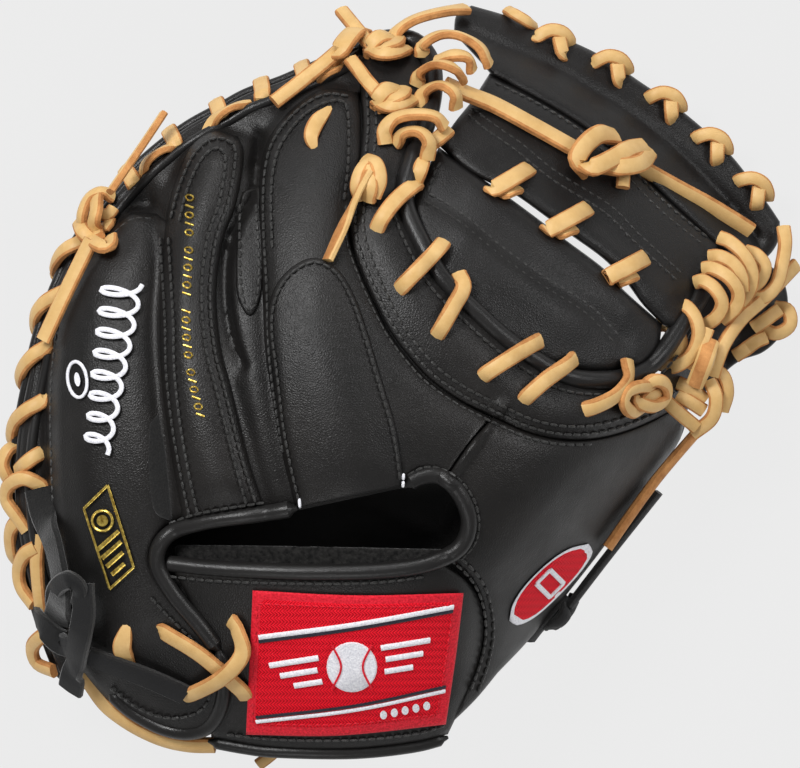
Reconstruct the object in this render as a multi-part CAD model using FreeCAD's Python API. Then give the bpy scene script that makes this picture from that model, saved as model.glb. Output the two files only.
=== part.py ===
"""A left-hand catcher's mitt, lying palm down with the back of the hand upwards.

Millimetres. +Z leaves the back of the hand, +Y points to the fingertips and +X to the thumb.
The mitt lies on the plane z = 0 and its outline is centred on the origin.
"""
import FreeCAD, Part
import math
import os

V = FreeCAD.Vector

# Back of the mitt: one dome that the leather panels are laid on.
DOME_RADIUS = 164.0
DOME_TOP = 98.0
DOME_CENTRE = (-15.0, -15.0)
# The thumb side rolls over towards the palm across a band behind its straight outer edge.
THUMB_EDGE_POINT = (65.1, -53.4)
THUMB_EDGE_NORMAL = (0.768, -0.640)
THUMB_ROLL_BAND = 45.0
THUMB_ROLL_DROP = 38.0
# Near the heel the roll is slighter: its share there, and the length over which it grows.
THUMB_HEEL_END = (17.0, -116.0)
HEEL_ROLL_SHARE = 0.2
HEEL_ROLL_LENGTH = 50.0
# The web flattens out just above the plane that the mitt lies on.
WEB_LOW = 14.0
WEB_SOFTNESS = 12.0
WEB_STEP = 2.0
# Palm: a deep pocket inside a ring that the mitt rests on.
POCKET_CENTRE = (45.0, 10.0)
POCKET_HEIGHT = 66.0
RING_SHARE = 0.8
RIM_THICKNESS = 13.0
WEB_EDGE_THICKNESS = 18.0
WEB_EDGE_REACH = 30.0
# The palm's edge dips at the wrist, which leaves a mouth under the strap for the hand.
WRIST_X = -24.0
WRIST_REACH = 42.0
WRIST_EDGE_HEIGHT = 14.0
# The heel is notched where the mitt folds.
NOTCH_HEIGHT = 22.0
NOTCH_WIDTH = 16.0
# The fold runs from the heel to the top of the web, seen from above.
FOLD_HEEL = (23.0, -120.0)
FOLD_TOP = (80.0, 101.0)
FOLD_GAP = 0.6
# Layers, measured from the dome along its normal.
LEATHER = 3.0
CLEAR = 0.4
OVERLAY = 2.0
LINING = 2.0
HAND_DEPTH = 30.0
THUMB_DEPTH = 19.0
PAD_TOP = 5.0
THIN_PAD = 3.0
PAD_CLEAR = 2.0
WEB_THICKNESS = 5.6
# Laces and rolled bindings.
LACE_WIDTH = 5.0
LACE_THICKNESS = 2.0
LACE_LIFT = LEATHER + CLEAR + 0.3 + LACE_THICKNESS / 2
WEB_LACE_LIFT = CLEAR + 0.3 + LACE_THICKNESS / 2
BINDING = 4.6
WELT = 3.0
TAIL_WIDTH = 5.5
TAIL_THICKNESS = 2.4
LOOP_PITCH = 17.0
STEP = 0.5


def ramp(value):
    """Smooth step from 0 to 1 while value goes from 0 to 1."""
    value = min(1.0, max(0.0, value))
    return value * value * (3 - 2 * value)


def fold_x(y):
    """Where the fold crosses the line y."""
    return FOLD_HEEL[0] + (y - FOLD_HEEL[1]) * (FOLD_TOP[0] - FOLD_HEEL[0]) / (FOLD_TOP[1] - FOLD_HEEL[1])


def dome(x, y):
    distance = math.hypot(x - DOME_CENTRE[0], y - DOME_CENTRE[1])
    distance = min(distance, DOME_RADIUS * 0.98)
    return DOME_TOP - DOME_RADIUS + math.sqrt(DOME_RADIUS ** 2 - distance ** 2)


def back_z(x, y):
    """Underside of the leather on the back of the mitt."""
    beyond = (x - THUMB_EDGE_POINT[0]) * THUMB_EDGE_NORMAL[0] + (y - THUMB_EDGE_POINT[1]) * THUMB_EDGE_NORMAL[1]
    share = min(1.2, max(0.0, (beyond + THUMB_ROLL_BAND) / THUMB_ROLL_BAND))
    along = (THUMB_HEEL_END[1] - y) * -THUMB_EDGE_NORMAL[0] - (x - THUMB_HEEL_END[0]) * THUMB_EDGE_NORMAL[1]
    growth = HEEL_ROLL_SHARE + (1 - HEEL_ROLL_SHARE) * ramp(along / HEEL_ROLL_LENGTH)
    return dome(x, y) - THUMB_ROLL_DROP * growth * share ** 2.2


def web_z(x, y):
    """Upper face of the web."""
    height = dome(x, y)
    spread = math.sqrt((height - WEB_LOW) ** 2 + WEB_SOFTNESS ** 2)
    return (height + WEB_LOW + spread) / 2 - WEB_STEP


# Outer edge of the leather, from the heel round the little finger and the fingertips to the web.
FINGER_RIM = [(-112, -99), (-119, -80), (-124.5, -60), (-127.5, -40), (-127, -20), (-123.5, 0), (-119, 19),
              (-112, 37), (-106, 49), (-97, 61), (-88, 71), (-79, 79), (-70, 85.5), (-60, 91), (-51, 96),
              (-40, 100), (-32, 103.5), (-20, 109), (-12.5, 113.5)]
HEEL_RIM = [(25, -105), (10, -115), (-16, -118), (-50, -117), (-80, -112), (-100, -103), (-112, -99)]
THUMB_RIM = [(98.5, 8), (97, -7), (94, -18.4), (80, -35.4), (65.1, -53.4), (52, -69.4), (40, -84.4),
             (31.5, -95.5), (25, -105)]
WEB_RIM = [(-12.5, 113.5), (-3, 115), (24, 126.5), (50, 117.5), (66, 110.5), (93, 92.5), (110, 77.5),
           (127, 54.5), (120, 35), (98.5, 8)]
OUTLINE = FINGER_RIM + WEB_RIM[1:] + THUMB_RIM[1:] + HEEL_RIM[1:]
# Where the palm and back leathers end and the web begins, from the index finger to the thumb.
WEB_BASE = [(-4, 112), (-6.5, 82), (-4, 68), (-2, 56), (4, 44), (13, 31.5), (24, 20), (36, 9.5), (45, 3),
            (53, -1.5), (63, -3.5), (75, -4), (86, -1), (93, 4), (99, 9)]


def distance_to_line(x, y, line):
    best = 1e9
    for (ax, ay), (bx, by) in zip(line, line[1:]):
        dx, dy = bx - ax, by - ay
        share = ((x - ax) * dx + (y - ay) * dy) / (dx * dx + dy * dy)
        share = min(1.0, max(0.0, share))
        best = min(best, math.hypot(x - ax - share * dx, y - ay - share * dy))
    return best


def rim_beyond(x, y):
    """Where the line from the pocket centre through (x, y) leaves the outline, and the share reached."""
    dx, dy = x - POCKET_CENTRE[0], y - POCKET_CENTRE[1]
    if math.hypot(dx, dy) < 0.01:
        return POCKET_CENTRE, 0.0
    farthest = 0.0
    for (ax, ay), (bx, by) in zip(OUTLINE, OUTLINE[1:]):
        ex, ey = bx - ax, by - ay
        cross = dx * ey - dy * ex
        if abs(cross) < 1e-9:
            continue
        along = ((ax - POCKET_CENTRE[0]) * ey - (ay - POCKET_CENTRE[1]) * ex) / cross
        across = ((ax - POCKET_CENTRE[0]) * dy - (ay - POCKET_CENTRE[1]) * dx) / cross
        if along > 0 and -1e-6 <= across <= 1 + 1e-6:
            farthest = max(farthest, along)
    edge = (POCKET_CENTRE[0] + dx * farthest, POCKET_CENTRE[1] + dy * farthest)
    return edge, min(1.0, 1 / farthest)


def edge_height(x, y):
    """Height of the palm leather's lower face on the outline."""
    height = back_z(x, y) - RIM_THICKNESS
    near_wrist = math.exp(-((x - WRIST_X) / WRIST_REACH) ** 4) * ramp((-85 - y) / 20)
    return height + (WRIST_EDGE_HEIGHT - height) * near_wrist


def palm_z(x, y):
    """Lower face of the palm leather."""
    edge, share = rim_beyond(x, y)
    if share < RING_SHARE:
        height = POCKET_HEIGHT * (1 - (share / RING_SHARE) ** 3) ** 1.5
    else:
        height = edge_height(*edge) * ((share - RING_SHARE) / (1 - RING_SHARE)) ** 2
    near_web = math.exp(-(distance_to_line(x, y, WEB_BASE) / WEB_EDGE_REACH) ** 2)
    height += (back_z(x, y) - WEB_EDGE_THICKNESS - height) * near_web
    near_fold = math.exp(-((x - fold_x(y)) / NOTCH_WIDTH) ** 2) * ramp((-50 - y) / 20)
    if height < NOTCH_HEIGHT:
        height += (NOTCH_HEIGHT - height) * near_fold
    return height


def hollow(x, y):
    """How far the top of the padding is pressed down to make room for the hand and the thumb."""
    right = 34 - max(0.0, y + 20) * 0.5
    hand = ramp((x + 100) / 24) * ramp((right - x) / 24) * ramp((78 - y) / 26)
    thumb = ramp((24 - distance_to_line(x, y, [(30, -62), (74, -22)])) / 14)
    return max(HAND_DEPTH * hand, THUMB_DEPTH * thumb)


def leather_top_z(x, y):
    """Inner face of the palm leather."""
    return palm_z(x, y) + LEATHER


def pad_bottom_z(x, y):
    """Bottom of the padding."""
    return palm_z(x, y) + LEATHER + PAD_CLEAR


def pad_z(x, y):
    """Top of the padding."""
    return max(back_z(x, y) - PAD_TOP - hollow(x, y), pad_bottom_z(x, y) + THIN_PAD)


def outer_welt_z(x, y):
    return back_z(x, y) - CLEAR - 0.7 - WELT / 2


def inner_welt_z(x, y):
    return leather_top_z(x, y) + CLEAR + 0.2 + WELT / 2


def on(surface, x, y, lift):
    """The point above (x, y) on a surface, moved along the surface's normal by lift."""
    height = surface(x, y)
    slope_x = (surface(x + STEP, y) - surface(x - STEP, y)) / (2 * STEP)
    slope_y = (surface(x, y + STEP) - surface(x, y - STEP)) / (2 * STEP)
    normal = V(-slope_x, -slope_y, 1).normalize()
    return V(x, y, height) + normal * lift


def normal_of(surface, x, y):
    return (on(surface, x, y, 1.0) - on(surface, x, y, 0.0)).normalize()


def spaced(points, count):
    """Evenly spaced points along a broken line."""
    lengths = [0.0]
    for (ax, ay), (bx, by) in zip(points, points[1:]):
        lengths.append(lengths[-1] + math.hypot(bx - ax, by - ay))
    result = []
    for index in range(count):
        target = lengths[-1] * index / (count - 1)
        span = max(i for i in range(len(points) - 1) if lengths[i] <= target + 1e-9)
        share = (target - lengths[span]) / (lengths[span + 1] - lengths[span])
        share = min(1.0, share)
        (ax, ay), (bx, by) = points[span], points[span + 1]
        result.append((ax + (bx - ax) * share, ay + (by - ay) * share))
    return result


def quad(south_west, south_east, north_east, north_west, south=(), east=(), north=(), west=()):
    """A four-sided outline: its corners, and the points between them on each side."""
    return {"south": [south_west, *south, south_east], "north": [north_west, *north, north_east],
            "west": [south_west, *west, north_west], "east": [south_east, *east, north_east]}


def plan_grid(sides, rows, columns, inset=0.0):
    """Points inside a four-sided outline, in rows from south to north."""
    fine = 61
    south, north = spaced(sides["south"], fine), spaced(sides["north"], fine)
    west, east = spaced(sides["west"], fine), spaced(sides["east"], fine)

    def read(side, share):
        place = share * (fine - 1)
        index = min(fine - 2, int(place))
        part = place - index
        (ax, ay), (bx, by) = side[index], side[index + 1]
        return ax + (bx - ax) * part, ay + (by - ay) * part

    grid = []
    for row in range(rows):
        v = inset + (1 - 2 * inset) * row / (rows - 1)
        line = []
        for column in range(columns):
            u = inset + (1 - 2 * inset) * column / (columns - 1)
            point = []
            for axis in (0, 1):
                value = (1 - v) * read(south, u)[axis] + v * read(north, u)[axis]
                value += (1 - u) * read(west, v)[axis] + u * read(east, v)[axis]
                value -= (1 - u) * (1 - v) * south[0][axis] + u * (1 - v) * south[-1][axis]
                value -= (1 - u) * v * north[0][axis] + u * v * north[-1][axis]
                point.append(value)
            line.append(tuple(point))
        grid.append(line)
    return grid


def closed(faces):
    """A solid from faces that meet along their edges."""
    shell = Part.makeShell(faces)
    shell.sewShape()
    solid = Part.makeSolid(shell)
    if solid.Volume < 0:
        solid.reverse()
    return solid


def smooth_surface(grid):
    """A smooth surface that follows a net of points without swinging past them."""
    knots = [list(range(len(side) - 2)) for side in (grid, grid[0])]
    mults = [[4] + [1] * (len(line) - 2) + [4] for line in knots]
    surface = Part.BSplineSurface()
    surface.buildFromPolesMultsKnots(grid, mults[0], mults[1], knots[0], knots[1], False, False, 3, 3)
    return surface


def between(lower, upper):
    """A solid between two grids of points."""
    low, high = smooth_surface(lower), smooth_surface(upper)
    faces = [low.toShape(), high.toShape()]
    low_u0, low_u1, low_v0, low_v1 = low.bounds()
    high_u0, high_u1, high_v0, high_v1 = high.bounds()
    for low_u, high_u in ((low_u0, high_u0), (low_u1, high_u1)):
        faces.append(Part.makeRuledSurface(low.uIso(low_u).toShape(), high.uIso(high_u).toShape()))
    for low_v, high_v in ((low_v0, high_v0), (low_v1, high_v1)):
        faces.append(Part.makeRuledSurface(low.vIso(low_v).toShape(), high.vIso(high_v).toShape()))
    return closed(faces)


def panel(sides, surface, low, high, rows=12, columns=9, inset=0.0):
    """A panel of even thickness laid on a surface."""
    grid = plan_grid(sides, rows, columns, inset)
    lower = [[on(surface, x, y, low) for x, y in line] for line in grid]
    upper = [[on(surface, x, y, high) for x, y in line] for line in grid]
    return between(lower, upper)


def filling(sides, floor, roof, rows=14, columns=12, inset=0.0):
    """A pad that fills the height between two surfaces."""
    grid = plan_grid(sides, rows, columns, inset)
    lower = [[V(x, y, floor(x, y)) for x, y in line] for line in grid]
    upper = [[V(x, y, roof(x, y)) for x, y in line] for line in grid]
    return between(lower, upper)


def bar(path, faces_up, section):
    """A bar along a path: section lists (across, up) corners round its cross-section."""
    rails = [[] for _ in section]
    for index, point in enumerate(path):
        before = path[max(0, index - 1)]
        after = path[min(len(path) - 1, index + 1)]
        along = (after - before).normalize()
        across = along.cross(faces_up[index]).normalize()
        up = across.cross(along).normalize()
        for rail, (side, rise) in zip(rails, section):
            rail.append(point + across * side + up * rise)
    edges = []
    for rail in rails:
        curve = Part.BSplineCurve()
        curve.interpolate(rail)
        edges.append(curve.toShape())
    faces = []
    for index, edge in enumerate(edges):
        faces.append(Part.makeRuledSurface(edge, edges[(index + 1) % len(edges)]))
    for end in (0, -1):
        corners = [rail[end] for rail in rails]
        faces.append(Part.Face(Part.makePolygon(corners + corners[:1])))
    return closed(faces)


def flat_section(width, thickness):
    return [(-width / 2, -thickness / 2), (width / 2, -thickness / 2),
            (width / 2, thickness / 2), (-width / 2, thickness / 2)]


def round_section(diameter, corners=8):
    turns = [2 * math.pi * (index + 0.5) / corners for index in range(corners)]
    return [(diameter / 2 * math.cos(turn), diameter / 2 * math.sin(turn)) for turn in turns]


def laid(stops, width=LACE_WIDTH, thickness=LACE_THICKNESS):
    """A flat lace over the mitt: each stop is (surface, x, y, lift)."""
    path = [on(*stop) for stop in stops]
    ups = [normal_of(*stop[:3]) for stop in stops]
    return bar(path, ups, flat_section(width, thickness))


def eased(points):
    """A broken line's corners eased into a smooth curve, as evenly spaced points."""
    knots = list(range(len(points) - 2))
    mults = [4] + [1] * (len(knots) - 2) + [4]
    curve = Part.BSplineCurve()
    curve.buildFromPolesMultsKnots([V(x, y, 0) for x, y in points], mults, knots, False, 3)
    return [(point.x, point.y) for point in curve.discretize(Number=2 * len(points))]


def roll(points, surface, lift, diameter):
    """A rolled binding along points on a surface."""
    line = eased(points)
    path = [on(surface, x, y, lift) for x, y in line]
    ups = [normal_of(surface, x, y) for x, y in line]
    return bar(path, ups, round_section(diameter))


def rim_welt(height):
    """A welt that follows the rim at a height that depends on the place."""
    path = [V(x, y, height(x, y)) for x, y in spaced(FINGER_RIM, 24)]
    return bar(path, [V(0, 0, 1)] * len(path), round_section(WELT))


def free(points, width=LACE_WIDTH, thickness=LACE_THICKNESS, up=(0, 0, 1)):
    """A flat lace through points in space."""
    return bar([V(*point) for point in points], [V(*up)] * len(points), flat_section(width, thickness))


def rim_loops(rim, pitch, top, bottom, skip=0.5, width=LACE_WIDTH, reach=8.0, stand=4.6):
    """Lace loops round an edge: top and bottom are (surface, lift) of the faces that they lie on."""
    length = sum(math.hypot(bx - ax, by - ay) for (ax, ay), (bx, by) in zip(rim, rim[1:]))
    count = int(length / pitch)
    places = spaced(rim, 20 * count + 1)
    loops = []
    for index in range(count):
        middle = int(20 * (index + skip))
        (ax, ay), (x, y), (bx, by) = places[middle - 4], places[middle], places[middle + 4]
        along = V(bx - ax, by - ay, 0).normalize()
        out = V(-along.y, along.x, 0)
        top_z, bottom_z = on(top[0], x, y, top[1]).z, on(bottom[0], x, y, bottom[1]).z
        stops = [on(top[0], x - out.x * reach, y - out.y * reach, top[1]),
                 on(top[0], x - out.x * 2, y - out.y * 2, top[1] + 0.3),
                 V(x + out.x * stand, y + out.y * stand, (top_z + bottom_z) / 2),
                 on(bottom[0], x - out.x * 2, y - out.y * 2, bottom[1] - 0.3),
                 on(bottom[0], x - out.x * reach, y - out.y * reach, bottom[1])]
        ups = []
        for before, after in zip([stops[0]] + stops[:-1], stops[1:] + [stops[-1]]):
            ups.append((after - before).cross(along).normalize())
        loops.append(bar(stops, ups, flat_section(width, LACE_THICKNESS)))
    return Part.makeCompound(loops)


# ---- Leather panels on the back -------------------------------------------------------------------
FINGER_INNER = [(-114.5, -75), (-117, -50), (-118, -25), (-119, -5), (-116.5, 20), (-112, 32), (-106.5, 42),
                (-98.5, 51.5), (-90, 57.5), (-80.5, 57), (-76, 67), (-70.5, 80), (-62, 85), (-53, 83.5),
                (-48, 81.5), (-39.5, 91), (-32, 97.5), (-24, 100.5)]
EDGE_PANEL = quad((-112, -99), (-109, -93.5), (-14, 99), (-12.5, 113.5), east=FINGER_INNER,
                  west=FINGER_RIM[1:-1])
PINKY_STALL = quad((-108, -92), (-61, -101), (-81, 54), (-97, 50),
                   south=[(-99, -101), (-88, -109), (-78, -112), (-67, -110)],
                   east=[(-63, -91), (-71, -81), (-81, -70), (-86.5, -60), (-83, -50), (-75.5, -45.5), (-76, -30),
                         (-78, -12), (-80, 5), (-80.5, 22), (-80, 38)],
                   north=[(-89, 56)],
                   west=[(-113, -75), (-115.5, -50), (-116.5, -25), (-117.5, -5), (-115, 20), (-110.5, 31),
                         (-105, 41)])
RING_STALL = quad((-73, -44.5), (-46.5, -39.5), (-54, 81), (-69, 78.5), south=[(-60, -41.5)],
                  east=[(-50, -24), (-53, -12), (-56, 0), (-59, 12), (-61, 30), (-59, 47), (-53.5, 61)],
                  north=[(-62, 83.5)],
                  west=[(-75, -28), (-77, -12), (-79, 5), (-79.5, 22), (-79, 38), (-77.5, 52), (-74.5, 66)])
MIDDLE_STALL = quad((-45, -38.8), (-36, -37.5), (-48.5, 79), (-52, 79),
                    east=[(-40, -25), (-43, -5), (-45.8, 10), (-46.5, 30), (-48, 45), (-48.5, 60)],
                    west=[(-48.5, -24), (-51.5, -12), (-54.5, 0), (-57.5, 12), (-59.5, 30), (-57.5, 46),
                          (-52, 60)])
INDEX_STALL = quad((-34.5, -37), (13.5, -26), (-14.5, 97), (-31, 95.5), south=[(-15, -34), (1, -30), (7, -27)],
                   east=[(21, -17), (30, -9.5), (20, -5.5), (9, 1), (2, 9), (-4.5, 17), (-9.5, 27),
                         (-14.5, 38), (-18, 50), (-15.5, 61), (-14.5, 75), (-14, 86)],
                   north=[(-24, 98.5)],
                   west=[(-38.5, -25), (-41.5, -5), (-44.3, 10), (-45, 30), (-46.5, 45), (-47, 60), (-46, 70),
                         (-44, 80), (-38, 89)])
INDEX_PAD = quad((-33, -37), (0.5, -30), (-20, 38), (-36, 39), south=[(-15, -34.5)],
                 east=[(0, -22), (-2, -12), (-5, -2), (-8, 8), (-11, 18), (-15, 29)], north=[(-28, 42.5)],
                 west=[(-37.5, -25), (-40, -15), (-42, 5), (-43.5, 15), (-43.5, 25), (-41, 33)])
FOLD_LEFT = -FOLD_GAP
FOLD_RIGHT = FOLD_GAP


def fold_point(y, side):
    return fold_x(y) + side, y


WEB_SIDE_FINGERS = quad(fold_point(-17.5, FOLD_LEFT), fold_point(-1.8, FOLD_LEFT), (-3.5, 112), (-11.5, 112),
                        east=[(45, 3), (36, 9.5), (24, 20), (13, 31.5), (4, 44), (-2, 56), (-4, 68), (-6.5, 82),
                              (-5, 100)],
                        west=[(42, -15.5), (30, -7.5), (20, -3.5), (10, 2.5), (3.5, 10), (-3, 18), (-8, 28),
                              (-13, 39), (-16.5, 50), (-14, 61), (-13, 75), (-12.5, 86), (-13, 98)])
WEB_SIDE_THUMB = quad(fold_point(-17.7, FOLD_RIGHT), (97, -4.5), (98.5, 8.5), fold_point(-1.8, FOLD_RIGHT),
                      south=[(62, -18.5), (75, -16.5), (87, -11.5)],
                      north=[(63, -3.5), (75, -4), (86, -1), (93, 3.5)])
THUMB_ROOT = quad((20, -112), fold_point(-106, FOLD_LEFT), fold_point(-19.5, FOLD_LEFT), (17.5, -26.5),
                  west=[(25, -102), (29.5, -91), (30.5, -79), (28, -68), (25.5, -60), (27.5, -50), (26.8, -42),
                        (23.5, -34)],
                  north=[(31.5, -12)])
THUMB_OUTER = [(40, -84.4), (52, -69.4), (65.1, -53.4), (80, -35.4), (94, -18.4)]
THUMB_PANEL = quad(fold_point(-95.5, FOLD_RIGHT), (31.5, -95.5), (96.5, -8), fold_point(-20.2, FOLD_RIGHT),
                   east=THUMB_OUTER, north=[(62, -20.8), (75, -18.8), (87, -13.8)])
STRAP = quad((-56, -116.5), (16.5, -111.5), (16, -62), (-69, -66), south=[(-41, -118), (-16, -118), (5, -115.5)],
             east=[(22, -102), (26.5, -91), (27.5, -79), (25, -69)],
             north=[(-50, -66.5), (-20, -67.5), (0, -66)], west=[(-55, -103), (-56, -92), (-62.5, -79)])
LABEL = quad((-50.5, -115), (14.5, -111.5), (20, -69.5), (-48.5, -69), south=[(-18, -116)], north=[(-14, -70)])
THUMB_PATCH = quad((37, -80), (50, -74), (62.5, -55), (50, -62), south=[(44, -79.5)], east=[(58, -64.5)],
                   north=[(57, -57)], west=[(42, -71)])
OPENING_LEFT = [(-61, -90), (-67, -80.5), (-76, -69.5), (-81, -59), (-77.5, -50.5), (-66, -45.8), (-45, -42.7),
                (-34, -41.2)]
OPENING_RIGHT = [(3, -33.2), (9, -30.3), (15, -31.9), (20, -37.5), (22.3, -44.5), (21.3, -51.5), (17, -56.5)]
OPENING_BOTTOM = [(15.5, -57.6), (7, -60.2), (-8, -62), (-30, -62.5), (-50, -62), (-66, -61)]
STRAP_HEM = [(-57, -120.5), (-41, -122), (-16, -122.2), (5, -119.8), (15, -117.5)]
HEEL_HEM = [(-100, -103.5), (-90, -112), (-78, -116.2), (-67, -114.3), (-58.5, -107.5)]

# ---- Palm ----------------------------------------------------------------------------------------
PALM_FINGERS = quad((-112, -99), fold_point(-105, FOLD_LEFT), (-5.5, 111), (-30, 104),
                    south=[(-100, -103), (-80, -112), (-50, -117), (-16, -118), (10, -115)],
                    east=[fold_point(-4, FOLD_LEFT), (44, 3), (35, 8.5), (23, 19), (12, 30.5), (3, 43), (-3, 55),
                          (-5, 67), (-7.5, 82), (-6.5, 99)],
                    north=[(-20, 109)], west=FINGER_RIM[1:-2])
PALM_THUMB = quad(fold_point(-95.5, FOLD_RIGHT), (31.5, -95.5), (97.5, 8), fold_point(-3, FOLD_RIGHT),
                  east=THUMB_OUTER + [(97, -7)], north=[(63, -4.5), (75, -5), (86, -2), (93, 3)])
HAND_LINING = quad((-62, -110), (10, -110), (-8, 52), (-72, 52), south=[(-26, -112)],
                   east=[(14, -60), (14, -20)], north=[(-40, 58)], west=[(-74, -60), (-78, 0)])
BACK_LINING = quad((-70, -40), (10, -24), (-20, 85), (-60, 72), south=[(-30, -35)],
                   east=[(12, -12), (-8, 14), (-18, 40)], north=[(-40, 84)], west=[(-74, 0), (-74, 45)])
THUMB_LINING = quad(fold_point(-60, 3), (60, -47), (73, -27), fold_point(-32, 3))

# ---- Web -----------------------------------------------------------------------------------------
WEB_LOWER_FINGERS = quad((5, 61), fold_point(8, FOLD_LEFT), fold_point(41, FOLD_LEFT), (13.5, 77.5),
                         south=[(8.5, 54), (14, 45.5), (21, 35), (29.5, 26), (40, 16.5), (49, 10.8)],
                         north=[(24, 71), (38, 60), (49, 52), (56.5, 46)])
WEB_LOWER_THUMB = quad(fold_point(8, FOLD_RIGHT), (79, 10.5), (86, 19), fold_point(40.5, FOLD_RIGHT),
                       south=[(64, 7.2), (71, 7.5)], north=[(69, 37), (76, 29.5), (83, 23)])
WEB_UPPER_FINGERS = quad((15, 80.5), fold_point(43.5, FOLD_LEFT), fold_point(76, FOLD_LEFT), (31, 102),
                         south=[(26, 73.5), (39.5, 63.3), (50.5, 55.3), (58, 49.3)],
                         north=[(48, 94.5), (63, 84.3)], west=[(19, 87), (25, 94.5)])
WEB_UPPER_THUMB = quad(fold_point(42.5, FOLD_RIGHT), (90, 22.5), (102, 47.5), fold_point(75.5, FOLD_RIGHT),
                       south=[(72, 37.8), (79, 31.5), (86, 25.5)], east=[(97, 30), (101, 38)],
                       north=[(88, 60.5)])
TOP_BAR_FINGERS = quad((19.5, 118.5), fold_point(78, FOLD_LEFT), fold_point(102.5, FOLD_LEFT), (24, 126.5),
                       south=[(26, 111), (33.5, 105), (49, 97), (64, 87)],
                       north=[(36, 123), (50, 117.5), (66, 110.5)])
TOP_BAR_THUMB = quad(fold_point(77.5, FOLD_RIGHT), (113, 45.5), (127, 54.5), fold_point(101.5, FOLD_RIGHT),
                     south=[(89.5, 63), (104, 51)], east=[(120, 43.5), (125.5, 47)],
                     north=[(93, 92.5), (110, 77.5), (122, 63)])
THUMB_TONGUE = quad((100, 10), (121, 10.5), (129, 29), (102, 39), south=[(110, 8.5)], east=[(127.5, 18)],
                    north=[(114, 41.5), (123, 37.5)])
BASE_WELT_FINGERS = [(1.2, 58.5), (4.5, 51.5), (9, 44.3), (17, 32.8), (26, 23), (36.5, 13.5), (45.5, 7.6),
                     (53.5, 3.8)]
BASE_WELT_THUMB = [(57.5, 2.4), (64, 1.6), (72, 1.6), (80, 4.2)]


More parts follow.
